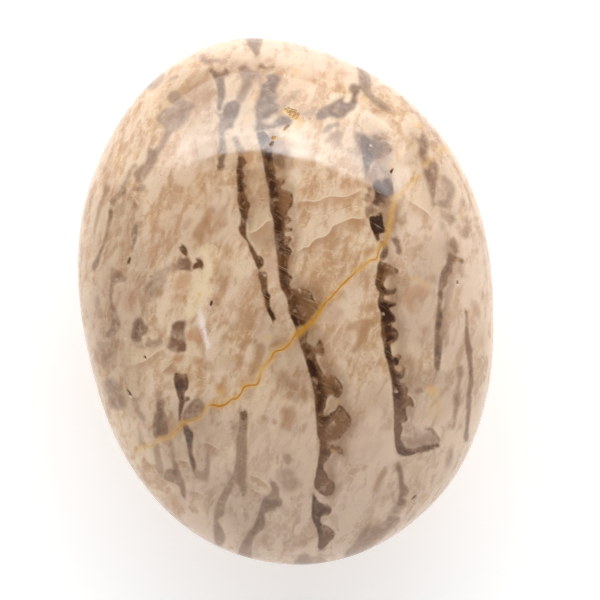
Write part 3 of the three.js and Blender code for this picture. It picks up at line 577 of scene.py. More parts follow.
TAN = (
    # Clearer, darker grains of the feldspar
    (0.7, 0.28, (
        -10.4, 9.6, -9, 11.2, -7.3, 12.7, -7.1, 12.3, -7.6, 11.9, -8.1, 10.6, -8.6, 10, -8.7, 9.4, -9, 8.8,
        -9.2, 8.2, -9.6, 8.3, -9.8, 9,
    )),
    (0.5, 0.22, (-11.2, 10.7, -10.6, 11.7, -9.9, 11.6, -10.8, 10.5)),
    (0.5, 0.3, (-7.3, 10.4, -7.2, 11.3, -6.2, 12.5, -5.7, 12.6, -5.7, 11, -6, 10.3, -7, 9.5, -7.4, 9.9)),
    (0.55, 0.2, (-6.1, 15.2, -5.8, 15.9, -5.5, 16.5, -5.3, 16.3, -5.4, 15.6, -4.7, 15.3, -5.2, 15)),
    (0.35, 0.3, (-7.2, 14, -6.6, 15, -5.9, 15.9, -6, 15.2)),
    (0.35, 0.3, (-8.9, 16.3, -7.6, 18.3, -7.8, 17.4, -8.4, 16.6)),
    (0.4, 0.3, (-12.2, 14.3, -11.2, 15.6, -10.6, 15.8, -10.8, 14.8, -11.6, 13.8)),
    (0.45, 0.25, (
        -2.5, 13.2, -1.9, 13.1, -1.5, 13.9, -0.9, 14.2, -0.8, 13.7, -1.3, 13.3, -2, 12.1, -2.6, 12.1,
    )),
    (0.4, 0.25, (-1.9, 15.2, -1.6, 16.3, -1.1, 16.2, -1.3, 15.6, -1.6, 15)),
    (0.35, 0.35, (
        -3.2, 8.6, -2, 8.7, -0.5, 9.8, -0.5, 7.4, -1, 6, -1.8, 6.2, -2.2, 6.8, -2.9, 7.4, -3.4, 8.2,
    )),
    (0.45, 0.2, (-6.9, 7.3, -6.4, 8.2, -5.8, 8.4, -6.7, 7.1)),
    (0.45, 0.18, (-8.2, 5, -7, 6.7, -6.5, 7.3, -6.3, 7, -6.9, 6.2, -8.1, 4.7)),
    (0.4, 0.3, (-8.4, 4.9, -7.5, 5.3, -6.3, 5.2, -6, 4.5, -7, 2.2, -8, 2.4, -8.5, 3.6)),
    (0.65, 0.15, (-8.9, 1.5, -8.4, 1.7, -8.1, 1.2, -8.5, 0.6, -8.9, 0.7)),
    (0.3, 0.4, (-5, 1.8, -4.2, 2.9, -3.3, 3.4, -3.2, 0.8, -3.6, 0.1, -4.2, -0.8, -5.2, 0.4)),
    (0.5, 0.35, (
        -6.4, -0.4, -3.8, -0.6, -4.4, -2.3, -4.7, -3, -5.2, -3, -5.5, -2.5, -7, -2.8, -7.7, -2.5, -7.3, -1.8,
        -6.5, -1.3,
    )),
    (0.65, 0.2, (-6.8, -4.8, -6.3, -4.2, -5.6, -4, -5, -4.2, -5.2, -4.6, -5.8, -4.6, -6.2, -5.3)),
    (0.65, 0.22, (
        -4.7, -4.9, -3.8, -4.9, -3.9, -6, -4.5, -6.9, -5, -8, -5.8, -8.6, -6.3, -8.3, -5.9, -7.6, -4.8, -5.8,
    )),
    (0.3, 0.4, (-9.3, -5.2, -8.2, -5.6, -7, -5.8, -6.6, -6.4, -6.8, -7, -8.8, -7.2, -9.7, -6.6)),
    (0.5, 0.22, (-11.2, -5.8, -10.2, -6.4, -10.4, -7, -11, -6.9, -11.4, -6.4)),
    (0.35, 0.25, (-9.4, -4.4, -8.6, -3.2, -8.2, -3.2, -8.6, -4.2)),
    (0.45, 0.3, (-3, -9.3, -2.4, -8.7, -1.5, -8.6, -1.5, -10.5, -2.7, -10.6)),
    (0.4, 0.3, (-2.5, -4.4, -1.6, -4.3, -0.6, -5, -2.2, -5.7, -2.6, -5.2)),
    (0.65, 0.3, (-3, -13.2, -1.4, -13, -1.2, -14, -2.3, -16, -2.8, -15.9, -3.3, -15.2, -3, -14.4)),
    (0.4, 0.2, (-1.5, -11.8, -1, -11.8, -0.6, -12.4, -1, -12.8, -1.4, -12.4)),
    (0.45, 0.2, (-1.2, -10, -0.4, -10, -0.6, -10.9, -1.1, -11.1)),
    (0.35, 0.2, (0.1, -12, 0.5, -12, 0.4, -12.8, 0, -13)),
    (0.5, 0.25, (-6.9, -10, -5.7, -10, -6.3, -11.4, -7, -11.3, -7.4, -10.8)),
    (0.6, 0.12, (-4.1, -14.1, -3.9, -14.1, -3.9, -14.7, -4.2, -14.8)),
    (0.3, 0.25, (-5.7, -13.9, -5.2, -13.6, -4.6, -13.8, -4.6, -14.6, -5.2, -14.2)),
    (0.3, 0.35, (-13.9, -12.9, -12.4, -12.5, -12.5, -14, -12.2, -15, -12.5, -15.4, -13, -14.4)),
    (0.5, 0.2, (-16.3, -6.2, -15.6, -5.7, -15.1, -5.3, -14.9, -6.8)),
    (0.5, 0.2, (-16.8, -8, -15.6, -7.6, -15.5, -8.6, -16, -8.6)),
    (0.4, 0.25, (-21.6, -3.2, -21, -3.4, -20.8, -4.2, -21, -5, -21.5, -4.6)),
    (0.3, 0.3, (-18, 11.6, -18.3, 11.7, -18.7, 10.8, -19.2, 10.2, -19.6, 9.9, -18.8, 9.9)),
    (0.35, 0.25, (-13.3, 15.2, -13, 16.1, -12.5, 16.4, -12.4, 15.9, -12.8, 15.2)),
    (0.35, 0.3, (-20.2, 19.9, -19, 20, -18.8, 19, -18.4, 18.6, -19.8, 18.1)),
    (0.35, 0.3, (-16.7, -0.6, -16.2, -0.6, -15.8, -2.2, -16.3, -2)),
    (0.5, 0.4, (
        -9.3, 27.4, -7, 28.5, -6, 29, -5.2, 29, -4.7, 28, -4.8, 27, -5, 25.6, -6, 25.6, -7, 26, -7.4, 25.4,
        -8.2, 26.4,
    )),
    (0.35, 0.3, (7.3, 15, 8.2, 15.4, 8.7, 15, 8.4, 14.4, 7.6, 14.5)),
    (0.3, 0.25, (5.3, 12.7, 5.4, 13.4, 6, 13.5, 6, 12.9, 5.6, 12.6)),
    (0.35, 0.18, (3, 11, 3.3, 11.3, 3.5, 11, 3.3, 10.7)),
    (0.3, 0.3, (3.3, 10, 4, 10, 4.6, 9.6, 4.4, 9.2, 3.8, 9.2, 3.4, 9.5)),
    (0.5, 0.22, (4.3, 6.5, 5.2, 6.8, 6, 6.9, 7.3, 8, 7.2, 7.2, 6.6, 6.6, 5.6, 6.2, 4.6, 5.8, 3.9, 6)),
    (0.5, 0.22, (5.6, 4.7, 6.2, 5.6, 6.8, 6.3, 7.7, 6.6, 7.6, 6, 6.3, 4.9, 5.8, 4.4)),
    (0.4, 0.3, (8.8, 7.3, 9, 8.3, 11.3, 8.2, 11.4, 7.6, 10.6, 7.2, 10.8, 6.4)),
    (0.35, 0.2, (4.1, 4.6, 4.4, 5.3, 4.9, 5.4, 4.5, 4.7)),
    (0.3, 0.25, (5.8, 3.5, 6.4, 4, 7.2, 4.1, 7.4, 3.6, 6.6, 3.3)),
    (0.3, 0.25, (2.2, 2, 2.7, 3.6, 3, 3.2, 2.7, 1.6, 2.3, 1.3)),
    (0.5, 0.3, (3.2, 0.6, 3.6, 1.4, 4.4, 2, 5.2, 1.9, 5.1, 1.3, 4.6, 0.8, 4.2, 0.1, 3.4, 0.1)),
    (0.35, 0.2, (6.9, 2, 7.4, 2.6, 7.8, 2.6, 7.1, 1.6)),
    (0.3, 0.4, (8, -0.1, 9, 1.6, 10, 2.3, 11.3, 2.3, 11.2, 1.2, 10.6, 0.6, 9.7, 0.4)),
    (0.4, 0.2, (6.2, -0.6, 6.9, 0.2, 7.2, -0.1, 7.1, -1.4, 6.9, -1, 6.4, -0.9)),
    (0.55, 0.25, (4.6, -3.1, 4.9, -2.3, 6.4, -2.2, 6.6, -2.5, 5.4, -3.4, 5.1, -3.6)),
    (0.35, 0.25, (8.9, -2.9, 9.2, -2.3, 9.8, -2.1, 10.5, -2.6, 9.8, -2.9, 9.2, -3.1)),
    (0.65, 0.22, (
        6.4, -4.9, 8.4, -3.9, 10.2, -4.3, 10, -4.9, 9.3, -5.3, 8.9, -6, 7.2, -7.9, 6.8, -7.4, 7.8, -6.2,
        7.9, -5.4, 7.6, -5,
    )),
    (0.5, 0.12, (4.1, -7.3, 4.5, -6.7, 4.9, -6.2, 5, -6.5, 4.2, -7.5)),
    (0.35, 0.2, (9.6, -6.8, 9.9, -7.3, 9.8, -7.9, 9.5, -7.5)),
    (0.25, 0.45, (
        5.8, -14.4, 6.8, -13.2, 7.8, -12.3, 9.2, -11.8, 9.9, -12.2, 10.3, -13.6, 10.4, -14.8, 9.4, -15.2,
        8.6, -15, 7.6, -15.5, 6.4, -15.7,
    )),
    (0.35, 0.25, (8.6, -17.4, 9.4, -17.1, 10.1, -17.4, 9.7, -18, 8.9, -17.9)),
    (0.5, 0.12, (5.7, -22.1, 6, -21.7, 6.3, -21.7, 6, -22.2)),
    (0.6, 0.18, (6.5, -25.2, 6.6, -24.6, 8.1, -22.6, 8.5, -22.2, 8.6, -22.8, 8.1, -23.4, 7, -25)),
    (0.3, 0.3, (6.4, -26.4, 7.4, -25.6, 8.8, -25.6, 8.8, -26, 7.6, -26.2)),
    (0.3, 0.3, (12, -22.3, 13, -23, 12.4, -24, 11.6, -23.8, 11.6, -22.8)),
    (0.35, 0.3, (-4, -29.9, -3.2, -29.5, -1.7, -29.3, -2.8, -30.3)),
    (0.35, 0.3, (-8.8, -28.5, -7.6, -28.2, -6.7, -28.4, -7, -28.9, -8, -29.1)),
    (0.65, 0.3, (
        14.8, 9.4, 15.6, 9.8, 15.9, 9.2, 15.2, 8.4, 15.4, 7.4, 16, 7.2, 15.6, 6.9, 14.8, 7, 14.3, 6.2,
        14, 6.4, 14.7, 8.6,
    )),
    (0.35, 0.35, (13.8, -0.3, 14.2, 0.4, 15.4, 0.2, 15.2, -0.6, 14.4, -0.8)),
    (0.35, 0.3, (17, -0.3, 17.6, 0.2, 18.5, 0.2, 18.4, -0.7, 17.6, -0.8)),
    (0.3, 0.25, (16.6, 3.8, 17.6, 4.1, 17.4, 3.4, 16.8, 3.3)),
    (0.3, 0.25, (16.4, 5, 17, 5.2, 17.2, 4.6, 16.6, 4.4)),
    (0.35, 0.3, (16, 14.7, 17, 15, 17.8, 14.2, 17, 13.6, 16.2, 13.9)),
    (0.3, 0.3, (15.4, -5.9, 16.7, -6.1, 16.6, -7.2, 15.8, -7)),
    (0.35, 0.25, (22.3, -4.2, 23, -4.4, 22.8, -5.8, 22.3, -5.9)),
)

PALE = (
    # Pinkish-white wisps and clouds of the feldspar
    (0.8, 0.8, (4.6, -17, 8, -16.4, 9.6, -19, 8, -21.4, 5, -21)),
    (0.6, 0.3, (
        -7, 9.3, -6, 10, -5.2, 10.2, -4.9, 9, -5.2, 8, -6.5, 7.8, -7.8, 8.4, -8.8, 8.7, -8.6, 9.3, -7.8, 9.4,
    )),
    (0.5, 0.18, (-11.3, 9.4, -10.7, 10.3, -9.2, 12.2, -7.6, 13.4, -9.2, 11.4, -10.2, 10, -10.8, 9.2)),
    (0.5, 0.12, (-5.8, 9.9, -5.5, 11, -5.4, 11.9, -5.2, 11.9, -5.3, 11, -5.6, 9.8)),
    (0.5, 0.3, (-2, 5.6, -0.6, 5.8, -0.6, 1.3, -1.1, 1.5, -1.8, 2, -1.9, 4)),
    (0.6, 0.3, (
        -4.1, -1.6, -3.2, -0.9, -2.5, -2.6, -2.6, -3.8, -3.6, -3.6, -4.2, -4.4, -4.7, -3.6, -4.4, -2.6,
    )),
    (0.5, 0.22, (-6.6, -8, -6.2, -6.4, -5.6, -5.4, -5, -5, -5.2, -6)),
    (0.55, 0.3, (-1.9, 0.9, -0.6, 0.9, -0.3, -1.2, -1.2, -2.6, -1.6, -1.4)),
    (0.4, 0.4, (
        -7.4, 1.9, -6.4, 2.9, -5.4, 3.4, -4.2, 4.2, -3.5, 5, -3.4, 4, -3.9, 3, -4.9, 2, -6, 0.6, -6.9, -0.6,
        -7.4, 0,
    )),
    (0.4, 0.3, (-6, 14.8, -4.4, 14.8, -4.3, 13, -5.6, 12.8, -6.6, 13.4)),
    (0.45, 0.4, (
        -1.4, -6.1, -0.6, -5.8, 0.2, -5.6, 0.6, -6.6, 0.9, -8.4, 0.3, -8.6, -1, -8, -2.4, -8.2, -3.4, -7.8,
    )),
    (0.5, 0.35, (
        3.9, -1.9, 5.5, -1.4, 7.5, -1.3, 10, -0.6, 10.6, -0.8, 10.6, -1.8, 9.6, -1.8, 8.4, -3, 6.6, -3.7,
        5.8, -4.2, 4.2, -3.9, 3.5, -3,
    )),
    (0.4, 0.5, (4, -5, 5.6, -4.6, 7.4, -5.3, 7.2, -6.4, 6.2, -7.4, 5.2, -8.2, 3.8, -8, 3.9, -6.4)),
    (0.5, 0.1, (9, -3.4, 9.8, -3.1, 10.6, -3.3, 10.6, -3.5, 9.8, -3.3)),
    (0.4, 0.3, (
        1.5, 5.4, 1.8, 6.2, 2.1, 7.2, 3, 7.8, 4.4, 8, 6.5, 8, 6.8, 8.2, 6.3, 7.5, 4.2, 6.8, 3.6, 6.2,
        2.8, 6.1, 2.1, 5.5,
    )),
    (0.6, 0.15, (1.2, 15, 1.5, 15.8, 1.9, 15.6, 1.7, 14.95)),
    (0.5, 0.2, (1.5, 13.7, 2.2, 14, 2.6, 14.4, 2.9, 13.8, 2.8, 13.2)),
    (0.5, 0.35, (-19.4, 17.6, -18.8, 18.2, -18, 18.1, -17.6, 17.4, -18.2, 17, -19, 17)),
    (0.4, 0.15, (-14.2, 12.8, -13.4, 12.6, -12.2, 12, -11.6, 11.9, -12.4, 11.8, -13.6, 12.3)),
    (0.6, 0.15, (-16, -3.6, -15.4, -4.3, -14.4, -4.6, -13.9, -4.4, -15.2, -4.1)),
    (0.5, 0.3, (-12.4, -14.4, -10.4, -13.9, -9.6, -14.4, -9.6, -16.4, -11, -16.4, -12.2, -15.6)),
    (0.35, 0.4, (
        -12.4, -17.4, -10.8, -17.4, -9.9, -18, -10.4, -19.6, -11.6, -20.8, -12.8, -20, -12.5, -18.6,
    )),
    (0.6, 0.15, (-18.4, -16.6, -17.4, -16.9, -17.2, -17.8, -18.2, -17.9, -18.5, -17.4)),
    (0.45, 0.35, (-7.3, -14.8, -5.8, -14.4, -4.6, -15, -4, -16, -5, -17.4, -6.8, -17.2, -7.6, -16.4)),
    (0.35, 0.35, (-7.7, -17.4, -6.4, -17.6, -5.4, -19, -5.4, -20, -7, -20.3, -7.9, -19.6)),
    (0.4, 0.35, (-6.8, -12, -4.8, -11, -3.6, -10, -4.4, -9.8, -6.4, -11.6)),
    (0.4, 0.4, (-2, -16.8, 0.6, -17.3, 0.5, -20, -0.6, -20.6, -1.7, -20.4, -2, -19, -2.4, -18)),
    (0.5, 0.25, (16.6, -15.4, 17.4, -14.9, 18, -14.4, 18, -16, 17.6, -16.8, 16.9, -16.2)),
    (0.6, 0.3, (14.3, 19.6, 15, 20.2, 16, 19.8, 16.4, 19.2)),
    (0.35, 0.4, (17.8, 9, 19, 9.6, 19.2, 8.4, 19.6, 7, 19.4, 6)),
)

CREAM = (
    # Pale plates, inclusions and specks
    (0.95, 0.22, (
        -9.3, 8.2, -7.2, 7.6, -7.3, 6.8, -8.4, 5, -8.4, 4.3, -8.8, 3.2, -9, 2.2, -10.4, 0.8, -11.2, -0.2,
        -12, -0.6, -12.8, 0.2, -12.4, 1.2, -11.4, 4, -10.6, 5, -9.2, 5.3, -9.2, 6.4, -9.6, 7.3,
    )),
    (0.8, 0.3, (
        -20.4, -3.9, -19.6, -3.4, -17.4, -3.4, -16.4, -3.4, -16.8, -3.9, -17.8, -4.25, -18.8, -4.65,
        -20.2, -4.85, -20.7, -4.5,
    )),
    (0.7, 0.4, (-3.5, 9, -2.6, 9, -1, 9.9, -0.4, 10, -0.6, 10.6, -3.3, 9.9)),
    (0.75, 0.2, (13.2, 14.9, 14, 15.2, 15, 14.9, 15.1, 14, 13.3, 14.4)),
    (0.6, 0.25, (12.7, 9.3, 13.3, 9.25, 14, 9.6, 14.2, 9, 13.5, 8.7)),
    (0.6, 0.3, (-13.4, -9.6, -12, -8.6, -12.2, -9.6, -13, -10)),
    (0.7, 0.3, (12.2, 20, 13, 20, 13.9, 20.4, 13.6, 19.4, 12.8, 18.8, 12.2, 19.2)),
    (0.7, 0.35, (10.7, 23.5, 11.2, 24, 11.6, 23.4, 11.3, 22.9, 10.9, 22.9)),
    (0.6, 0.25, (3, -12.5, 3.7, -12.6, 3.9, -13.2, 3.7, -13.9, 2.3, -14.5, 2.8, -13.8, 2.8, -13)),
    (0.55, 0.3, (2.2, -4.4, 2.9, -4.1, 3.2, -4.8, 2.9, -5.3, 2.4, -6, 1.8, -5.8, 1.8, -5.1)),
    (0.7, 0.15, (-0.5, -28.9, -0.1, -28.55, 0.35, -28.7, 0.45, -29.1, 0, -29.4, -0.4, -29.3)),
    (0.6, 0.3, (11.8, -7.8, 12.6, -7.6, 12.7, -8.5, 11.9, -8.6)),
    (0.7, 0.2, (11.9, -10.4, 12.5, -10.3, 12.5, -10.8, 12, -10.9)),
    (0.6, 0.35, (17.4, -11, 18, -11, 18.3, -11.8, 17.7, -11.9)),
    (0.5, 0.5, (-21.6, -3, -20, -3.2, -20.6, -4.2, -22, -4.6, -22.4, -3.6)),
    (0.5, 0.4, (-17.9, -2.2, -17.4, -1.5, -16.7, -1.3, -16.6, -2, -17.2, -2)),
    (0.7, 0.25, (-16.6, 17, -16.3, 18, -16, 17.6, -16.2, 16.8, -16.7, 16.5)),
    (0.5, 0.6, (-19, 20.6, -17.4, 21.2, -16.8, 20.8, -17.4, 19.4, -18.4, 19)),
    (0.6, 0.3, (-8.4, -21, -7.6, -20.4, -5.8, -22.6, -6.4, -23.1, -7.4, -22.6, -8.2, -22)),
    (0.5, 0.5, (-11.4, -17, -10, -16.6, -8.8, -16.2, -10.8, -18.4, -12, -18)),
    (0.5, 0.5, (15, 20.2, 15.8, 20, 16.2, 19.4, 15.2, 19.2, 14.7, 19.7)),
    (0.6, 0.3, (-15.4, -22.7, -14.8, -23, -14.3, -23.8, -14.6, -24.4, -15.6, -23.3)),
)

# Rust crusts and washes
CRUST = (
    (0.4, 0.2, (3.2, 23.1, 3.8, 23.2, 4.4, 22.9, 5.2, 21.9, 4.8, 21.4)),
    (0.75, 0.12, (3.3, 22.9, 3.6, 23.1, 4, 22.9, 3.9, 22.6, 3.5, 22.6)),
    (0.8, 0.12, (4.3, 22.6, 4.6, 22.6, 4.6, 22.3, 4.3, 22.4)),
    (0.8, 0.12, (4.4, 22, 4.8, 22.2, 5.1, 21.9, 4.8, 21.5, 4.4, 21.7)),
    (0.9, 0.1, (1.4, 19.95, 1.7, 20.05, 1.95, 19.9, 1.8, 19.6, 1.5, 19.75)),
    (0.35, 0.2, (
        14.9, -13.4, 16.2, -13.5, 16.4, -14.2, 16.3, -15, 16.2, -16, 15.9, -15.6, 15.8, -14.6, 15.4, -14.8,
    )),
    (0.15, 0.5, (14.8, -15.6, 15.8, -15.6, 17, -16.8, 16.4, -17.6, 15, -17.4, 14.4, -16.6)),
    (0.4, 0.2, (13.2, -16.6, 13.6, -16.6, 13.8, -17, 13.4, -17)),
    (0.55, 0.2, (-11.2, 1.6, -11, 1.8, -10.8, 1.5, -11, 1.2)),
    (0.4, 0.2, (-10.8, 2.4, -10.4, 2.7, -10.3, 2.2, -10.7, 2.2)),
    (0.3, 0.3, (-3.5, -3.8, -3.1, -3.9, -3.2, -4.6, -3.6, -4.4)),
    (0.35, 0.2, (3.7, -13.1, 4.3, -13.1, 4.3, -13.5, 3.8, -13.6)),
    (0.7, 0.12, (2.3, -19.2, 2.6, -19.1, 2.8, -19.4, 2.4, -19.4)),
    (0.45, 0.2, (12.5, -26.6, 13.2, -26.4, 13.2, -26.6, 12.6, -26.8)),
    (0.4, 0.2, (-22.9, 9.6, -22.5, 10, -22.6, 9.6)),
    (0.45, 0.3, (4.6, 21.6, 5.2, 21.8, 5.3, 20.8, 4.7, 20.4, 4.3, 20.9)),
    (0.4, 0.4, (-1.6, 23, -0.9, 22.9, -1.1, 22.5, -1.8, 22.6)),
    (0.4, 0.5, (5.4, 27.7, 6, 27.8, 6.2, 27.3, 5.5, 27.2)),
    (0.35, 0.5, (19, 13.2, 20.9, 14.4, 20.4, 14.6, 19.3, 14.2)),
    (0.5, 0.6, (21.2, 15, 21.9, 15.6, 22.6, 15.2, 22.4, 14.8)),
    (0.4, 0.4, (19.2, 19, 19.8, 18.6, 19.6, 18, 19, 18.2)),
    (0.35, 0.2, (22.6, 7.1, 22.9, 7, 23, 6.6, 22.7, 6.6)),
    (0.4, 0.25, (21.2, 1.5, 21.6, 1.6, 21.5, 1.3, 21.2, 1.3)),
    (0.45, 0.4, (-10.5, -9.8, -9.9, -9.4, -9.4, -9.9, -9.9, -10.4)),
    (0.3, 0.8, (-11, -10.9, -10, -10.6, -9, -10.9, -9.6, -11.2, -11, -11.1)),
    (0.35, 0.35, (0.5, 25.3, 0.1, 25, -0.4, 24.9, 0, 25.6)),
    (0.35, 0.3, (13.2, 22.8, 13.6, 23.1, 13.4, 22.3, 13, 22.6)),
)

ROSE = (
    # Pinker, greyer stretches of the feldspar
    (0.7, 4, (-10, -12, 0, -15, 8, -13, 17, -11, 22, -12, 18, -26, 6, -36, -8, -36, -18, -24)),
    (0.65, 2, (-16, 27, -10, 30, 0, 28.6, 9, 27.4, 15, 23, 22, 26, 14, 38, -12, 38)),
    (0.5, 3, (13, 9, 17, 10, 24, 8, 26, -6, 22, -12, 14, -10, 13.5, 0)),
)

DIM = (
    # Broad stretches where the stone is a little darker
    (0.4, 1.2, (-17, 9, -16.4, 14, -13, 17.4, -8, 17.6, -5, 16, -5, 10, -8, 7.6, -13, 7.4)),
    (0.9, 1.6, (
        -10.5, 28, -6, 30.4, -2, 30.4, 2.6, 28.6, 4.4, 25.6, 3.6, 22.4, 0.2, 19.6, -3, 16.6, -7, 17.6, -9, 22,
        -11.4, 25,
    )),
    (0.9, 1.2, (11.2, 19.4, 14, 19.2, 16, 16, 16, 10, 14.4, 5, 12, 5, 11.4, 10, 11, 15)),
    (0.6, 1.4, (16.4, 17, 18.6, 18.4, 21, 16.4, 22, 7, 19, 8.4, 18, 12.4)),
    (0.5, 1.2, (-14.4, -20, -8.4, -19.6, -7, -25, -8.6, -28, -12.4, -25)),
    (0.8, 1.4, (-18.4, -11, -12, -11, -11.4, -16, -14, -20, -17, -18)),
    (0.5, 1.6, (12, -11.4, 18, -10, 23.4, -7, 22, -13, 17.6, -17.4, 12.4, -16.4)),
    (1, 1.6, (-3.4, -5, 1.4, -4, 1.8, -9, 0.6, -12, -3, -11)),
    (1, 1.6, (
        -23.6, 6, -22.6, 11, -20.4, 15.6, -17.6, 17.4, -14.6, 14, -15.6, 9, -16.4, 3, -18, -1, -19.4, -8,
        -21.8, -11, -24, -7, -24.6, 0,
    )),
    (0.75, 1.2, (13, 1, 15.6, 1.6, 16.4, 4.6, 20.4, 4, 19.6, -3, 18.2, -8, 15.4, -10, 13, -6)),
    (0.8, 1.0, (-4, 0, -0.8, 0, 0, -6, 0.6, -9.4, -3, -9.8, -4.6, -7)),
    (0.9, 1.0, (-3.8, 17, -0.2, 17, -0.2, 7, -2.4, 7, -4.2, 12)),
)

HAZE = (
    # Brown haze to the right of the quartz bands
    (0.55, 0.5, (
        0, 20, 3.2, 19, 3.6, 17, 2.6, 15, 3.2, 13.4, 3.2, 11, 2.6, 10, 2.6, 8, 2.2, 6, 1.5, 4, 1.6, 2,
        3.4, 1.4, 4.6, 0, 4.8, -1.6, 3.6, -3.4, 4, -6, 4, -8, 5.8, -11, 5.6, -14, 6.2, -15.6, 5.6, -17.4,
        4.6, -18.4, 4.2, -20, 2.6, -20.6, 2.6, -23.6, 1.4, -25, 1, -20, 1.6, -14, 1.4, -8, 0.8, -4, 0, 0,
        0, 10,
    )),
    (0.5, 0.4, (-3.6, 17.4, -2.4, 17, -2.1, 15, -2.8, 10.6, -3, 9.4, -3.8, 9.4, -3.6, 15)),
    (0.5, 0.5, (
        13, 17, 14, 17.2, 15.2, 16, 15, 12.6, 14.8, 10, 14.2, 7, 13.6, 5, 13.8, 2, 13.6, 0, 13.9, -2,
        13.4, -4, 13.8, -6, 13.4, -8, 14.2, -10, 13.8, -12, 13, -14, 12.8, -17, 12, -17, 12, -10, 12.8, 6,
        12.8, 13,
    )),
    (0.5, 0.4, (20.4, 4, 21.8, 2.8, 20.8, 0, 18.9, -6, 18.4, -9, 17.2, -9, 18.4, -4, 20, 1)),
)

MARKINGS = {
    "rose": ROSE,
    "tan": TAN,
    "pale": PALE,
    "warm": WARM,
    "cream": CREAM,
    "dim": DIM,
    "haze": HAZE,
    "veil_and_reflection": VEIL_AND_REFLECTION,
    "smoky": SMOKY,
    "dark": DARK,
    "crust": CRUST,
}

# Cracks stained by rust: along each, its place, its half width and how strongly it is stained
RUST_CRACKS = (
    ((-22, -14.7, 0.26, 0.25), (-21.2, -15.2, 0.2, 0.4), (-20.2, -15, 0.12, 0.5),
     (-19.3, -15.05, 0.13, 0.55), (-18.8, -14.5, 0.15, 0.5), (-17.6, -14.4, 0.11, 0.65),
     (-16.7, -14.1, 0.11, 0.75), (-16, -13.6, 0.09, 0.8), (-15.2, -13, 0.08, 0.85),
     (-14, -12.8, 0.08, 0.8), (-12.9, -12.5, 0.08, 0.75), (-12.3, -11.9, 0.08, 0.6),
     (-11.8, -11.3, 0.11, 0.6), (-11.1, -11.3, 0.14, 0.95), (-10.4, -11.6, 0.12, 1), (-9.6, -11.5, 0.1, 1),
     (-8.8, -11.05, 0.09, 0.95), (-8, -10.95, 0.08, 1), (-7.4, -10.3, 0.08, 1), (-6.9, -9.75, 0.08, 1),
     (-6.2, -9.65, 0.09, 1), (-5.4, -9.7, 0.1, 0.95), (-5, -9.2, 0.18, 0.8), (-4.7, -8.3, 0.2, 0.65),
     (-4.3, -7.75, 0.18, 0.65), (-3.7, -7.3, 0.17, 0.7), (-3.1, -6.8, 0.15, 0.85), (-2.7, -6.2, 0.11, 0.95),
     (-2.2, -6, 0.1, 1), (-1.6, -6, 0.1, 1), (-1, -5.65, 0.09, 1), (-0.5, -5.3, 0.09, 0.95),
     (-0.1, -4.8, 0.11, 0.9), (0.5, -4.3, 0.22, 0.85), (1.2, -3.95, 0.2, 0.85), (2, -3.55, 0.16, 0.9),
     (2.8, -3, 0.15, 0.85), (3.5, -2.3, 0.17, 0.8), (4.1, -1.6, 0.14, 0.9), (4.7, -1, 0.1, 1),
     (5.5, -0.5, 0.08, 1), (6.3, 0.2, 0.09, 1), (7.2, 0.85, 0.1, 1), (8.2, 1.55, 0.1, 0.95),
     (9.2, 2.2, 0.12, 0.75), (10, 2.6, 0.12, 0.7), (10.8, 3.1, 0.1, 0.85), (11.6, 3.15, 0.07, 0.95),
     (12, 4, 0.12, 0.8), (12.4, 4.6, 0.12, 0.8), (13, 5, 0.11, 0.8), (13.4, 5.7, 0.13, 0.7),
     (13.8, 6.7, 0.16, 0.65), (14.2, 7.9, 0.17, 0.6), (14.7, 9.2, 0.2, 0.55), (15.1, 10.2, 0.17, 0.55),
     (15.8, 10.6, 0.12, 0.65), (16.7, 11.2, 0.13, 0.55), (17.5, 11.9, 0.11, 0.55), (18.2, 12.3, 0.09, 0.5),
     (19, 12.5, 0.07, 0.3)),
    ((14.3, 0.5, 0.04, 0.3), (15.4, 0.1, 0.05, 0.4), (16.2, -0.2, 0.05, 0.4), (17.2, -1.1, 0.04, 0.5),
     (18.2, -1.35, 0.03, 0.4)),
    ((15.3, 13.3, 0.08, 0.3), (15.5, 14, 0.1, 0.35), (15.85, 14.8, 0.1, 0.3), (16.4, 15.6, 0.12, 0.35),
     (17, 16.3, 0.08, 0.15)),
    ((14.9, -13.5, 0.1, 0.4), (15.6, -13.55, 0.11, 0.55), (16.2, -13.9, 0.11, 0.5), (16.3, -14.5, 0.09, 0.35),
     (16.1, -15.2, 0.12, 0.45), (16.2, -16, 0.12, 0.5), (16.6, -16.5, 0.1, 0.3)),
)
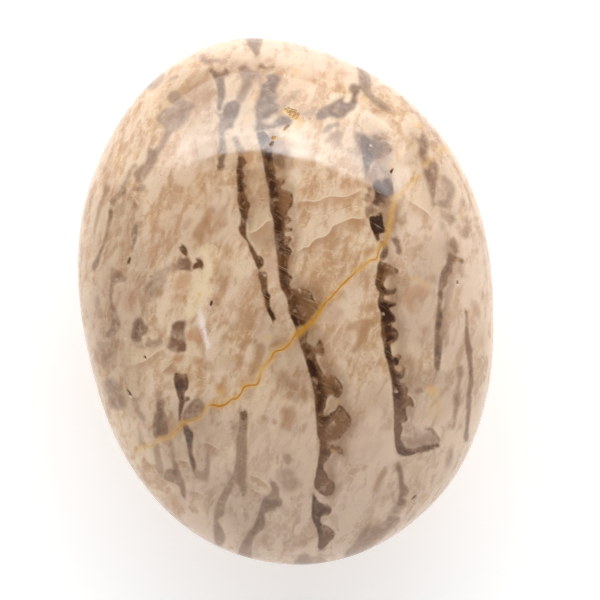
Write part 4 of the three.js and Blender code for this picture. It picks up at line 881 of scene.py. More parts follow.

# Ledges of old fractures in the feldspar: along each, its place and its strength. It is pale on the left of
# the way it runs, with a thin painted highlight at its edge, and has a tan painted shadow on the right.
LEDGES = (
    ((2.8, 11.55, 0.8), (4, 11.6, 0.8), (4.9, 11.4, 0.8), (5.5, 11.3, 0.8), (6.4, 11.55, 0.8),
     (7.4, 11.65, 0.8), (8.4, 11.4, 0.8), (9.4, 11.35, 0.8), (10.4, 11.6, 0.8), (11.6, 11.95, 0.8)),
    ((-3.6, 8.9, 1), (-2.5, 8.9, 1), (-1.7, 9.3, 1), (-1, 9.8, 1), (-0.3, 10, 1)),
    ((2.1, 5.4, 1), (2.8, 5.9, 1), (3.7, 6, 1), (4.3, 6.6, 1), (5, 6.85, 1), (5.7, 6.85, 1), (6.3, 7.2, 1),
     (6.9, 7.9, 1), (7.6, 8.2, 1), (8.6, 8.4, 1), (9.4, 8.6, 1), (10.4, 8.35, 1), (11.3, 8.3, 1)),
    ((-17.2, -6.7, 0.8), (-16.4, -6.1, 0.8), (-15.6, -5.6, 0.8), (-15, -5.1, 0.8)),
    ((-20.5, -4.9, 0.8), (-18.9, -4.7, 0.8), (-17.6, -4.2, 0.8), (-16.6, -3.7, 0.8), (-16, -3.5, 0.8)),
    ((16.1, 10.2, 0.9), (17.4, 9, 0.9), (18.6, 7.8, 0.9), (19.4, 6.6, 0.9)),
    ((-8.4, -20.4, 0.8), (-7.2, -21, 0.8), (-6.2, -22, 0.8), (-5.7, -23, 0.8)),
    ((-16.6, -17.2, 0.7), (-15.6, -17.6, 0.7), (-15, -17.9, 0.7)),
    ((-16.2, -19.1, 0.7), (-15, -19.5, 0.7)),
    ((-13.4, -15.7, 0.6), (-12.4, -15.9, 0.6), (-11.7, -16.5, 0.6), (-11.1, -17.1, 0.6)),
    ((-8.4, -22.1, 0.7), (-7.6, -22.6, 0.7), (-6.9, -23.1, 0.7)),
    ((-15.9, -21.1, 0.7), (-14.9, -21.5, 0.7), (-13.8, -22.3, 0.7)),
)

# White flecks in the polish: place and radius
FLECKS = (
    (2.55, 4.2, 0.14), (-2.15, 3.4, 0.13), (-20.3, -13.2, 0.14), (11.3, -3.6, 0.12), (-16.4, 2.75, 0.12),
    (1.7, 0.85, 0.14), (-18.2, -1.7, 0.16), (3.15, -15.95, 0.16), (-14.2, 4.1, 0.14), (-20.4, -1.5, 0.16),
    (9.8, -8.8, 0.14), (13.2, 17, 0.14), (-14.4, -2.4, 0.12), (6.7, -20.8, 0.16), (-9.7, -24.7, 0.18),
    (9.7, -14.9, 0.12), (3.4, -0.9, 0.1), (-17.2, -2.9, 0.1), (11.35, -13.3, 0.16), (-22.4, -10.4, 0.2),
)

# Small olive-brown marks in the polish: place and radius
SPOTS = (
    (-0.25, 21.35, 0.22), (0.35, 21.05, 0.24), (1.75, 21.15, 0.22), (0.6, 19.75, 0.12),
    (-3, 20.05, 0.16), (-3.9, 21.25, 0.18),
    (6.3, 21.55, 0.16), (2.5, 21.9, 0.16), (-16.8, 5.9, 0.14), (-16.1, 5.5, 0.2), (-8.5, -23.9, 0.14),
    (2.45, -2.1, 0.16), (3.4, -1.7, 0.16), (-12.9, 17.6, 0.14), (-9.25, -13.7, 0.14), (-13.25, -3.5, 0.2),
    (-22.6, -7.3, 0.16), (-23.3, -6.4, 0.16), (12.05, 19.7, 0.14), (12.95, 24.3, 0.2),
)

# Distances in millimetres for the markings: how far away a place counts as outside them all, how far outside
# a patch's box its edge still counts, how far left of a band's left edge still counts as in the band, and how
# far a crack and a ledge reach to either side
FAR = 9.0
MARGIN = 0.8
LEFT_SLACK = 0.3
CRACK_REACH = 1.5
LEDGE_REACH = 1.7

# How far the bands lean along X and Y, and how far they wander, for each millimetre below the girdle
LEAN = (0.34, -0.22)
WANDER = 0.11

# The mesh: how fast its grain grows down the belly, its rings across the foot, and how far round a pit it
# is cut smaller in millimetres
MESH_GROWTH = 1.06
FOOT_RINGS = 16
PIT_MARGIN = 0.35

# The polish's waves sink by this share of their height, and fade in this far above the foot in millimetres
WAVE_SINK = 1.2
WAVE_FADE = 1.2


def clamp01(values):
    return np.clip(values, 0, 1)


def smooth_curve(corners, closed, steps=4):
    """A centripetal curve through the corners, as short runs. Every column of a corner is carried along."""
    points = np.array(corners, dtype=float)
    if closed:
        points = np.vstack([points[-1], points, points[:2]])
    else:
        points = np.vstack([2 * points[0] - points[1], points, 2 * points[-1] - points[-2]])
    runs = []
    share = np.linspace(0, 1, steps, endpoint=False)[:, None]
    for before, start, end, after in zip(points, points[1:], points[2:], points[3:]):
        pairs = ((before, start), (start, end), (end, after))
        reach = [np.hypot(*(b - a)[:2]) ** 0.5 + 1e-6 for a, b in pairs]
        into = start - before
        span = end - start
        onward = after - end
        leave = (into / reach[0] - (span + into) / (reach[0] + reach[1]) + span / reach[1]) * reach[1]
        arrive = (span / reach[1] - (onward + span) / (reach[1] + reach[2]) + onward / reach[2]) * reach[1]
        curve = start + leave * share
        curve = curve + (3 * span - 2 * leave - arrive) * share**2
        runs.append(curve + (leave + arrive - 2 * span) * share**3)
    if not closed:
        runs.append(points[-2:-1])
    return np.vstack(runs)


def closed_ring(corners):
    """The closed curve through corners written as X, Y, X, Y. Its first point comes again at its end."""
    ring = smooth_curve(np.reshape(corners, (-1, 2)), True)
    return np.vstack([ring, ring[:1]])


def within(places, points, reach):
    """The numbers of the places that lie within reach of the points' box."""
    low = points.min(0) - reach
    high = points.max(0) + reach
    return np.flatnonzero(((places > low) & (places < high)).all(1))


def nearest_on(places, path):
    """Each place's distance from the path, the nearest run's number, and how far along that run it is."""
    start, span = path[:-1, :2], np.diff(path[:, :2], axis=0)
    away = places[:, None, :] - start[None]
    along = clamp01((away * span).sum(2) / np.maximum((span * span).sum(1), 1e-12))
    gap = away - along[..., None] * span[None]
    squared = (gap * gap).sum(2)
    run = squared.argmin(1)
    row = np.arange(len(places))
    return np.sqrt(squared[row, run]), run, along[row, run]


def crossings(places, ring):
    """Where the level line through each place meets each run's line, and whether within the run."""
    y = places[:, 1:]
    ax, ay = ring[:-1, 0], ring[:-1, 1]
    bx, by = ring[1:, 0], ring[1:, 1]
    rise = np.where(by == ay, 1e-12, by - ay)
    return (bx - ax) * (y - ay) / rise + ax, (ay > y) != (by > y)


def inside(places, ring):
    """Which places a closed ring holds."""
    crossing, meets = crossings(places, ring)
    return ((meets & (places[:, :1] < crossing)).sum(1) % 2).astype(bool)


def patch_field(places, patches):
    """For each place, the patch that holds it or is nearest: depth in it, softness of edge, strength."""
    field = np.tile((-FAR, 0.3, 0.0), (len(places), 1))
    for strength, soft, corners in patches:
        ring = closed_ring(corners)
        near = within(places, ring, 3 * soft + MARGIN)
        depth = nearest_on(places[near], ring)[0]
        depth = np.where(inside(places[near], ring), depth, -depth)
        nearer = depth / soft > field[near, 0] / field[near, 1]
        rows = np.stack([depth, np.full(len(near), soft), np.full(len(near), strength)], 1)
        field[near[nearer]] = rows[nearer]
    return field


def left_field(places, patches):
    """How far each place lies to the right of the left edge of the patch that holds it."""
    field = np.full(len(places), FAR)
    for _, _, corners in patches:
        ring = closed_ring(corners)
        near = within(places, ring, MARGIN)
        x = places[near, :1]
        crossing, meets = crossings(places[near], ring)
        away = np.where(meets & (crossing < x + LEFT_SLACK), x - crossing, FAR)
        field[near] = np.minimum(field[near], away.min(1))
    return field


def path_field(places, paths, reach):
    """For each place, how far it is from the nearest path, plus on the left of its way, and the path's
    columns there."""
    field = np.tile((FAR, 0.0, 0.0), (len(places), 1))
    for corners in paths:
        path = smooth_curve(corners, False)
        near = within(places, path[:, :2], reach)
        away, run, along = nearest_on(places[near], path)
        span = np.diff(path[:, :2], axis=0)[run]
        gap = places[near] - path[run, :2]
        side = np.sign(span[:, 0] * gap[:, 1] - span[:, 1] * gap[:, 0]) * away
        along = along[:, None]
        columns = path[run, 2:] * (1 - along) + path[run + 1, 2:] * along
        done = (run + along[:, 0]) / (len(path) - 1)
        columns[:, -1] *= clamp01(np.minimum(done, 1 - done) * len(path) / 4)
        nearer = away < np.abs(field[near, 0])
        field[near[nearer], 0] = side[nearer]
        field[near[nearer], 1 : 1 + columns.shape[1]] = columns[nearer]
    return field


def fleck_field(places, flecks):
    """How much of a fleck lies at each place, fading out at the fleck's edge."""
    field = np.zeros(len(places))
    for x, y, radius in flecks:
        away = np.hypot(places[:, 0] - x, places[:, 1] - y)
        field = np.maximum(field, clamp01(1.6 - away / radius))
    return field


def unit_height(share, side):
    """Height of the unit section at a share of the girdle: face up on side 1, belly down on side -1."""
    dome = side * np.sqrt(np.maximum(0, 1 - share**DOME_POWER))
    return np.maximum(dome, -math.sqrt(1 - FOOT_SHARE**DOME_POWER))


def shaped(flat, side):
    """Places of the unit section's points on the stone, in millimetres, before it is set on its foot."""
    share = np.hypot(flat[:, 0], flat[:, 1])
    turn = np.arctan2(flat[:, 1], flat[:, 0])
    square = np.abs(np.cos(turn)) ** OUTLINE_POWER + np.abs(np.sin(turn)) ** OUTLINE_POWER
    reach = share * square ** (-1 / OUTLINE_POWER)
    x = WIDTH / 2 * reach * np.cos(turn)
    y = LENGTH / 2 * reach * np.sin(turn) * (1 - EGG * reach * np.cos(turn))
    bearing = np.arctan2(y, x)
    proud = np.zeros(len(flat))
    for middle, height, spread in RIM_WEAR:
        away = (np.degrees(bearing) - middle + 540) % 360 - 180
        proud += height * np.exp(-0.5 * (away / spread) ** 2)
    out = proud * share**2
    height = unit_height(share, side)
    rise = np.where(height > 0, CROWN * (1 + FACE_LEAN * y / (LENGTH / 2)), BELLY)
    return np.stack([x + out * np.cos(bearing), y + out * np.sin(bearing), height * rise], 1)


def own_box():
    """The low and high corner of the shaped stone's own box, before it is set on its foot."""
    turns = np.linspace(0, 2 * math.pi, 720, endpoint=False)
    rim = shaped(np.stack([np.cos(turns), np.sin(turns)], 1), np.ones(len(turns)))
    spine = shaped(np.stack([np.zeros(200), np.linspace(0, 0.5, 200)], 1), np.ones(200))
    foot = shaped(np.zeros((1, 2)), -np.ones(1))
    low = np.array([rim[:, 0].min(), rim[:, 1].min(), foot[0, 2]])
    high = np.array([rim[:, 0].max(), rim[:, 1].max(), spine[:, 2].max()])
    return low, high


def seated(places, own, solid):
    """The places taken from the stone's own box to its solid's, so that the foot is at zero height."""
    scale = (solid[1] - solid[0]) / (own[1] - own[0])
    return (places - own[0]) * scale + solid[0]


def ring_shares(face_grain, belly_grain):
    """Shares of the girdle for the rings of the mesh, from the top of the face to the middle of the foot."""
    mean_radius = (LENGTH + WIDTH) / 4

    def spaced(depth, first, last, stop):
        """Shares from the girdle to the stop, their spacing growing from the first grain to the last."""
        slope = np.linspace(0, math.pi / 2, 4000)
        share = np.cos(slope) ** (2 / DOME_POWER)
        run = np.hypot(np.diff(share) * mean_radius, np.diff(np.sin(slope)) * depth)
        walked = np.concatenate([[0], np.cumsum(run)])
        shares, at, grain = [], first, first
        while at < walked[-1]:
            here = float(np.interp(at, walked, share))
            if here < stop:
                break
            shares.append((here, grain))
            grain = min(grain * MESH_GROWTH, last)
            at += grain
        return shares

    down = spaced(BELLY, face_grain, belly_grain, FOOT_SHARE + 0.004)
    face = [(share, 1, grain) for share, grain in spaced(CROWN, face_grain, face_grain, 0)]
    belly = [(share, -1, grain) for share, grain in down]
    foot = [(share, -1, belly_grain) for share in np.linspace(FOOT_SHARE, 0, FOOT_RINGS, endpoint=False)]
    return face[::-1] + [(1.0, 1, face_grain)] + belly + foot, mean_radius


def stitched(outer, inner, flip):
    """Triangles between two rings of vertex numbers that run the same way from the same bearing."""
    faces, i, j = [], 0, 0
    a, b = len(outer), len(inner)
    while i < a or j < b:
        if j >= b or (i < a and (i + 1) / a <= (j + 1) / b):
            face = (outer[i % a], outer[(i + 1) % a], inner[j % b])
            i += 1
        else:
            face = (outer[i % a], inner[(j + 1) % b], inner[j % b])
            j += 1
        faces.append(face[::-1] if flip else face)
    return faces


def unit_rings(face_grain, belly_grain):
    """The unit section's points as an even net of rings: flat places, sides and triangles."""
    rings, mean_radius = ring_shares(face_grain, belly_grain)
    flat, side, faces = [(0.0, 0.0)], [1.0], []
    before = None
    for share, up, grain in rings:
        count = max(6, round(2 * math.pi * share * mean_radius / grain))
        turn = np.arange(count) / count * 2 * math.pi
        first = len(flat)
        flat += zip(share * np.cos(turn), share * np.sin(turn))
        side += [up] * count
        ring = list(range(first, first + count))
        if before is None:
            faces += [(0, ring[k], ring[(k + 1) % count]) for k in range(count)]
        elif len(ring) >= len(before) and up > 0:
            faces += stitched(ring, before, False)
        else:
            faces += stitched(before, ring, True)
        before = ring
    last = len(flat)
    flat.append((0.0, 0.0))
    side.append(-1.0)
    faces += [(last, before[(k + 1) % len(before)], before[k]) for k in range(len(before))]
    return np.array(flat), np.array(side), faces


def refined(flat, side, faces, boxes, cuts):
    """The net with its edges near the pits cut smaller."""
    mesh = bmesh.new()
    for place, up in zip(flat, side):
        mesh.verts.new((place[0], place[1], up))
    mesh.verts.ensure_lookup_table()
    for face in faces:
        mesh.faces.new([mesh.verts[k] for k in face])
    for _ in range(cuts):
        unit = np.array([vert.co[:] for vert in mesh.verts])
        places = seated(shaped(unit[:, :2], np.sign(unit[:, 2] + 1e-9)), *boxes)
        near = np.zeros(len(unit), dtype=bool)
        for up, (x, y), length, *_ in PITS:
            close = np.hypot(places[:, 0] - x, places[:, 1] - y) < length / 2 + PIT_MARGIN
            near |= close & (unit[:, 2] * up > 0)
        mesh.verts.index_update()
        edges = [edge for edge in mesh.edges if all(near[vert.index] for vert in edge.verts)]
        bmesh.ops.subdivide_edges(mesh, edges=edges, cuts=1, use_grid_fill=True)
        bmesh.ops.triangulate(mesh, faces=[face for face in mesh.faces if len(face.verts) > 3])
        mesh.verts.ensure_lookup_table()
    unit = np.array([vert.co[:] for vert in mesh.verts])
    mesh.verts.index_update()
    faces = [tuple(vert.index for vert in face.verts) for face in mesh.faces]
    mesh.free()
    return unit[:, :2], np.sign(unit[:, 2] + 1e-9), faces


def polish_waves(places):
    """The faint unevenness that hand polishing leaves, mostly from -1 to 1, in waves of 3.5 to 9 mm."""
    draw = np.random.default_rng(7)
    waves = np.zeros(len(places))
    for _ in range(14):
        way = draw.normal(size=3)
        way *= 2 * math.pi / (np.linalg.norm(way) * draw.uniform(3.5, 9))
        waves += np.sin(places @ way + draw.uniform(0, 2 * math.pi))
    return waves / 5


def crumbs(along, across):
    """Rust crumbs, from -1 to 1, at places along and across a pit in millimetres."""
    return np.sin(12 * along + 2 * np.sin(9 * across)) * np.sin(13 * across + 2 * along)


def pit_depth(places, side, normals):
    """How far the surface sinks, how deep in its pit that is as a share, and how dark the pit is. Rust
    crumbs fill the lighter pits."""
    sink = np.zeros(len(places))
    share = np.zeros(len(places))
    dust = np.zeros(len(places))
    for up, (x, y), length, width, depth, bearing, dark in PITS:
        near = np.flatnonzero((np.hypot(places[:, 0] - x, places[:, 1] - y) < length) & (side * up > 0))
        middle = near[np.hypot(*(places[near, :2] - (x, y)).T).argmin()]
        normal = normals[middle]
        along = np.array([math.cos(math.radians(bearing)), math.sin(math.radians(bearing)), 0])
        along -= normal * along.dot(normal)
        along /= np.linalg.norm(along)
        away = places[near] - places[middle]
        lengthways = away @ along
        crossways = away @ np.cross(normal, along)
        u = lengthways / (length / 2)
        v = crossways / (width / 2)
        turn = np.arctan2(v, u)
        out = np.hypot(u, v) / (1 + 0.08 * np.sin(3 * turn + x) + 0.06 * np.sin(7 * turn + y))
        bowl = np.sqrt(clamp01(1 - out**2)) * clamp01(1.6 * (1 - out)) ** 0.3
        filled = (1 - dark) * (0.55 + 0.45 * crumbs(lengthways, crossways))
        sink[near] = np.maximum(sink[near], depth * bowl * (1 - filled))
        share[near] = np.maximum(share[near], clamp01(1.5 * (1 - out) + 0.35))
        dust[near] = dark
    return sink, share, dust


def drawn_places(places, girdle):
    """Where each place falls on the drawing of the face. Below the girdle the bands lean and wander."""
    above = np.maximum(places[:, 2] - girdle, 0)
    flat = places[:, :2] * (DRAWN_FROM / (DRAWN_FROM - above))[:, None]
    below = np.maximum(girdle - places[:, 2], 0)
    lean = below[:, None] * np.array(LEAN)
    wander = np.stack([
        np.sin(places[:, 1] * 0.21 + 0.7) + 0.6 * np.sin(places[:, 0] * 0.37 + places[:, 1] * 0.13),
        np.sin(places[:, 0] * 0.19 + 2.1) + 0.5 * np.sin(places[:, 1] * 0.33 - places[:, 0] * 0.11),
    ], 1)
    return flat + lean + wander * (below[:, None] * WANDER)


def keep_field(mesh, name, values):
    """Keep a number or three numbers for each vertex, for the material to read."""
    kind, slot = ("FLOAT", "value") if values.ndim == 1 else ("FLOAT_VECTOR", "vector")
    field = mesh.attributes.new(name, kind, "POINT")
    field.data.foreach_set(slot, values.astype(np.float32).ravel())


def number(name, description, value, unit="NONE"):
    return bpy.props.FloatProperty(name=name, description=description, default=value, unit=unit)


def colour(name, description, value):
    return bpy.props.FloatVectorProperty(
        name=name, description=description, default=value, size=4, subtype="COLOR", min=0, max=1
    )


def srgb(red, green, blue):
    """A colour given as 0 to 255 per channel, as the shader's linear colour."""
    channels = [c / 255 for c in (red, green, blue)]
    return tuple(c / 12.92 if c <= 0.04045 else ((c + 0.055) / 1.055) ** 2.4 for c in channels) + (1.0,)


class StoneSizes(bpy.types.PropertyGroup):
    """How finely the stone is made."""

    face_grain: number("Face grain", "Size of the mesh on the face", 0.255 * MM, "LENGTH")
    belly_grain: number("Belly grain", "Size of the mesh on the belly", 0.42 * MM, "LENGTH")
    pit_cuts: bpy.props.IntProperty(
        name="Pit cuts", description="How often the mesh is cut at the pits", default=2
    )
    wave_height: number("Polish waves", "Height of the polish's faint waves", 0.009 * MM, "LENGTH")


class StoneColours(bpy.types.PropertyGroup):
    """Colours of the stone's minerals."""

    # The deep colour also paints the shadow beside the ledges
    deep: colour("Deep feldspar", "Clearer, darker grains of the feldspar", srgb(174, 130, 92))
    tan: colour("Tan feldspar", "Grains of the feldspar", srgb(188, 144, 104))
    pale: colour("Pale feldspar", "Cloudy feldspar between the grains", srgb(211, 176, 139))
    # The milk colour also paints the highlight along the ledges
    milk: colour("Milky feldspar", "The whitest wisps", srgb(226, 200, 170))
    pink: colour("Pink feldspar", "Pinker clouds", srgb(218, 188, 166))
    rose: colour("Rose feldspar", "Greyer stretches", srgb(236, 211, 193))
    taupe: colour("Taupe feldspar", "Darker grains of the greyer stretches", srgb(194, 163, 138))
    dim: colour("Dim feldspar", "Tint of the darker stretches", (0.78, 0.74, 0.7, 1))
    warm: colour("Warm stain", "Orange-brown staining", srgb(186, 130, 80))
    cream: colour("Cream plates", "Pale plates and inclusions", srgb(234, 210, 173))
    # The veil colour also paints a dark reflection inside the right rim
    veil_and_reflection: colour("Grey veil", "Thin, clear quartz over feldspar", srgb(124, 86, 60))
    lobe: colour("Brown quartz", "Thin edges of the quartz bands", srgb(139, 99, 66))
    smoky: colour("Smoky quartz", "Body of the quartz bands", srgb(92, 56, 31))
    ash: colour("Ashen quartz", "Quartz bands towards the foot of the face", srgb(144, 107, 82))
    # The dark colour also paints shade on the quartz towards the head
    dark: colour("Dark quartz", "Cores and left edges of the bands", srgb(50, 23, 9))
    rust: colour("Rust", "Old iron stain in the cracks", srgb(192, 124, 26))
    ochre: colour("Ochre", "Fresh iron stain beside the cracks", srgb(222, 172, 78))
    hollow: colour("Pit floor", "Dust in the open pits and marks", srgb(96, 76, 48))


class StageSettings(bpy.types.PropertyGroup):
    """The floor, the lamps and the camera."""

    floor: colour("Floor", "Colour of the floor", srgb(246, 246, 246))
    floor_size: number("Floor size", "Side of the floor", 5, "LENGTH")
    sky: number("Sky", "Strength of the light from low all round", 0.95)
    sky_top: number("Sky overhead", "Strength of the light overhead", 0.1)
    key: number("Key", "Power of the large softbox", 4.4, "POWER")
    shine: number("Shine", "Strength of the softbox's reflection", 1)
    strip: number("Strip", "Power of the small side strip", 0.035, "POWER")
    lens: number("Lens", "Focal length in millimetres", 180)


class Shader:
    """Short ways to add and join nodes in one material."""

    def __init__(self, name):
        self.material = bpy.data.materials.new(name)
        self.material.use_nodes = True
        self.tree = self.material.node_tree
        self.tree.nodes.clear()

    def node(self, kind, **settings):
        made = self.tree.nodes.new(kind)
        for name, value in settings.items():
            setattr(made, name, value)
        return made

    def put(self, socket, value):
        if isinstance(value, bpy.types.NodeSocket):
            self.tree.links.new(value, socket)
        else:
            socket.default_value = value

    def field(self, name):
        """A field of one number for each vertex."""
        return self.node("ShaderNodeAttribute", attribute_name=name).outputs["Fac"]

    def apart(self, vector):
        """The three numbers of a vector."""
        made = self.node("ShaderNodeSeparateXYZ")
        self.put(made.inputs[0], vector)
        return made.outputs

    def fields(self, name):
        """A field of three numbers for each vertex, apart."""
        return self.apart(self.node("ShaderNodeAttribute", attribute_name=name).outputs["Vector"])

    def math(self, operation, *values):
        made = self.node("ShaderNodeMath", operation=operation)
        for socket, value in zip(made.inputs, values):
            self.put(socket, value)
        return made.outputs[0]

    def times(self, first, *others):
        """The product of numbers."""
        for other in others:
            first = self.math("MULTIPLY", first, other)
        return first

    def total(self, *values):
        """The sum of numbers and of (number, times) pairs."""
        parts = [self.times(*value) if isinstance(value, tuple) else value for value in values]
        result = parts[0]
        for part in parts[1:]:
            result = self.math("ADD", result, part)
        return result

    def range(self, value, low, high, new_low=0.0, new_high=1.0):
        """The number taken smoothly from one range to another, and held at its ends."""
        made = self.node("ShaderNodeMapRange", interpolation_type="SMOOTHSTEP")
        for socket, given in zip(made.inputs, (value, low, high, new_low, new_high)):
            self.put(socket, given)
        return made.outputs[0]

    def mix(self, share, first, second, blend="MIX"):
        made = self.node("ShaderNodeMix", data_type="RGBA", blend_type=blend)
        self.put(made.inputs["Factor"], share)
        self.put(made.inputs[6], first)
        self.put(made.inputs[7], second)
        return made.outputs[2]

    def turned(self, vector, degrees, stretch):
        """Places turned about the vertical, then stretched along each axis."""
        turn = self.node("ShaderNodeMapping", vector_type="POINT")
        self.put(turn.inputs["Vector"], vector)
        turn.inputs["Rotation"].default_value = (0, 0, math.radians(-degrees))
        scale = self.node("ShaderNodeMapping", vector_type="POINT")
        self.put(scale.inputs["Vector"], turn.outputs[0])
        scale.inputs["Scale"].default_value = [1 / length for length in stretch]
        return scale.outputs[0]

    def noise(self, vector, scale, detail, rough, output="Fac"):
        made = self.node("ShaderNodeTexNoise")
        self.put(made.inputs["Vector"], vector)
        for name, value in (("Scale", scale), ("Detail", detail), ("Roughness", rough)):
            made.inputs[name].default_value = value
        return made.outputs[output]

    def even(self, vector, scale, detail, rough=0.55):
        """A noise about zero."""
        return self.math("SUBTRACT", self.noise(vector, scale, detail, rough), 0.5)

    def pushed(self, vector, way, reach):
        """Places pushed about by a noise's colours."""
        made = self.node("ShaderNodeVectorMath", operation="MULTIPLY_ADD")
        self.put(made.inputs[0], way)
        made.inputs[1].default_value = (reach, reach, reach)
        self.put(made.inputs[2], vector)
        return made.outputs[0]

    def cells(self, vector, feature, output):
        made = self.node("ShaderNodeTexVoronoi", feature=feature)
        self.put(made.inputs["Vector"], vector)
        made.inputs["Scale"].default_value = 1
        return made.outputs[output]

    def grey(self, value):
        made = self.node("ShaderNodeCombineColor")
        for socket in made.inputs:
            self.put(socket, value)
        return made.outputs[0]


class StoneShader(Shader):
    """Polished feldspar: tan and cream grains, quartz bands, rust and pits, each from its own field."""

    def __init__(self, colours):
        super().__init__("polished_feldspar")
        self.shade = {name: tuple(getattr(colours, name)) for name in colours.__annotations__}
        scaled = self.node("ShaderNodeVectorMath", operation="SCALE")
        self.put(scaled.inputs[0], self.node("ShaderNodeTexCoord").outputs["Object"])
        scaled.inputs["Scale"].default_value = 1 / MM
        self.mm = scaled.outputs[0]

        # The grains run up to the right and bend a little, so their places are pushed about by a slow noise
        self.flow = self.pushed(self.mm, self.noise(self.mm, 0.2, 1, 0.5, "Color"), 1.8)
        self.broad = self.grain(57, (7.0, 3.2, 4.4), 4, 0.55)
        self.islands = self.grain(60, (4.4, 1.8, 2.6), 4, 0.5)
        self.grains = self.grain(65, (2.1, 1.0, 1.4), 4, 0.5)
        self.clouds = self.even(self.mm, 0.16, 2, 0.5)
        self.cloudy = self.even(self.mm, 0.8, 3)
        self.mottle = self.even(self.mm, 1.5, 4, 0.65)
        self.ragged = self.even(self.mm, 2.0, 4, 0.6)

    def grain(self, degrees, stretch, detail, rough):
        """A noise about zero, in grains that are turned and stretched by so many millimetres."""
        return self.even(self.turned(self.flow, degrees, stretch), 1, detail, rough)

    def marking(self, name, *breaks, soften=1.0):
        """How much of a marking shows: its depth, broken up by noise, over the softness of its edge."""
        depth, soft, strength = self.fields(name)
        share = self.math("DIVIDE", self.total(depth, *breaks), soft)
        return self.times(self.range(share, -soften, soften), strength)

    def feldspar(self):
        """Colour of the feldspar, which is rosier and greyer in places, and the tone of its grains."""
        s, shade = self, self.shade
        # Blocks that split along their cleavage, each a little lighter or darker than the next
        shifted = s.pushed(s.flow, s.noise(s.mm, 1.1, 3, 0.6, "Color"), 1.3)
        block = s.node("ShaderNodeSeparateColor")
        s.put(block.inputs[0], s.cells(s.turned(shifted, 62, (4.2, 2.4, 3.0)), "F1", "Color"))
        block_tone = s.math("SUBTRACT", block.outputs[0], 0.5)
        tone = s.total(
            (s.broad, 1.4), s.islands, (s.grains, 0.9), (s.mottle, 0.5), s.clouds, (block_tone, 0.3), 0.5
        )

        plain = s.mix(s.range(tone, 0.2, 0.85), shade["pale"], shade["milk"])
        pinkish = s.total((s.clouds, 1.5), (s.even(s.mm, 0.35, 2), 1.5), (block.outputs[1], 0.2))
        plain = s.mix(s.times(s.range(pinkish, -0.1, 0.35), 0.5), plain, shade["pink"])
        patches = s.total(
            (s.islands, -1.0), (s.broad, -0.7), (s.grains, -0.45), (s.mottle, -0.25), (block_tone, -0.08)
        )
        patches = s.range(patches, -0.1, 0.16)
        plain = s.mix(s.times(patches, 0.62), plain, shade["tan"])
        holes = s.range(s.total((s.grains, -1.0), (s.broad, -0.5)), 0.0, 0.2)
        plain = s.mix(s.times(holes, 0.35), plain, shade["deep"])
        wisps = s.range(s.total(s.grain(52, (2.6, 0.7, 1.6), 2, 0.5), (s.grains, 0.3)), 0.02, 0.22)
        plain = s.mix(s.times(wisps, 0.5), plain, shade["milk"])
        streaks = s.range(s.total(s.grain(61, (1.5, 0.3, 0.8), 3, 0.6), (s.grains, 0.4)), 0.04, 0.24)
        plain = s.mix(s.times(streaks, 0.42), plain, shade["milk"])
        across = s.math("ABSOLUTE", s.grain(-14, (7.0, 2.2, 3.0), 2, 0.5))
        across = s.times(s.range(across, 0.0, 0.03, 1.0, 0.0), s.range(s.cloudy, 0.0, 0.15))
        plain = s.mix(s.times(across, 0.3), plain, shade["milk"])

        # Pale threads along the cleavage, stronger where the stone is greyer
        seams = s.cells(s.turned(shifted, 66, (2.6, 1.3, 1.8)), "DISTANCE_TO_EDGE", "Distance")
        broken = s.range(s.total(s.cloudy, (s.mottle, 0.5)), -0.15, 0.12)
        seams = s.times(s.range(seams, 0.0, 0.09, 1.0, 0.0), broken)
        threads = s.math("ABSOLUTE", s.grain(-16, (4.0, 0.9, 2.0), 2, 0.5))
        broken = s.range(s.total(s.grains, s.mottle), -0.1, 0.12)
        threads = s.times(s.range(threads, 0.0, 0.035, 1.0, 0.0), broken)
        seams = s.math("MAXIMUM", s.times(seams, 0.6), s.times(threads, 0.55))
        plain = s.mix(seams, plain, shade["milk"])
        grit = s.total((s.even(s.mm, 4.2, 2, 0.6), 0.6), (s.even(s.mm, 8, 1), 0.4))
        plain = s.mix(1.0, plain, s.grey(s.range(grit, -0.2, 0.2, 0.93, 1.05)), "MULTIPLY")

        rosy = s.mix(s.range(tone, 0.2, 0.9), shade["rose"], shade["pink"])
        rosy = s.mix(s.math("MAXIMUM", s.times(patches, 0.75), s.times(holes, 0.85)), rosy, shade["taupe"])
        rosy = s.mix(s.times(s.math("MAXIMUM", wisps, streaks), 0.55), rosy, shade["milk"])
        rosy = s.mix(s.times(seams, 1.3), rosy, shade["milk"])
        return s.mix(s.marking("rose", (s.clouds, 6), (s.islands, 3)), plain, rosy), tone

    def tinted(self, body, tone):
        """The feldspar with its clearer, paler and stained patches, its haze and its darker stretches."""
        s, shade = self, self.shade
        breaks = (s.grains, 0.9), (s.mottle, 0.6)
        tan = s.times(s.marking("tan", *breaks, soften=1.5), s.range(tone, 1.0, 0.2, 0.8, 1.15))
        body = s.mix(tan, body, shade["deep"])
        wisp = s.mix(s.range(tone, 0.2, 0.9), shade["pink"], shade["milk"])
        body = s.mix(s.marking("pale", *breaks, soften=1.5), body, wisp)
        warm = s.times(s.marking("warm", *breaks, soften=1.5), s.range(tone, 1.1, 0.0, 0.7, 1.1))
        body = s.mix(warm, body, shade["warm"])
        cream = s.marking("cream", (s.grains, 0.7), (s.mottle, 0.6), soften=1.4)
        cream = s.times(cream, s.range(s.total(tone, s.mottle), 0.0, 1.0, 0.3, 0.95))
        body = s.mix(cream, body, shade["cream"])
        body = s.mix(s.marking("haze", (s.mottle, 1.4), (s.grains, 1.2), soften=1.5), body, shade["lobe"])
        return s.mix(s.marking("dim", (s.clouds, 3), (s.islands, 3)), body, shade["dim"], "MULTIPLY")

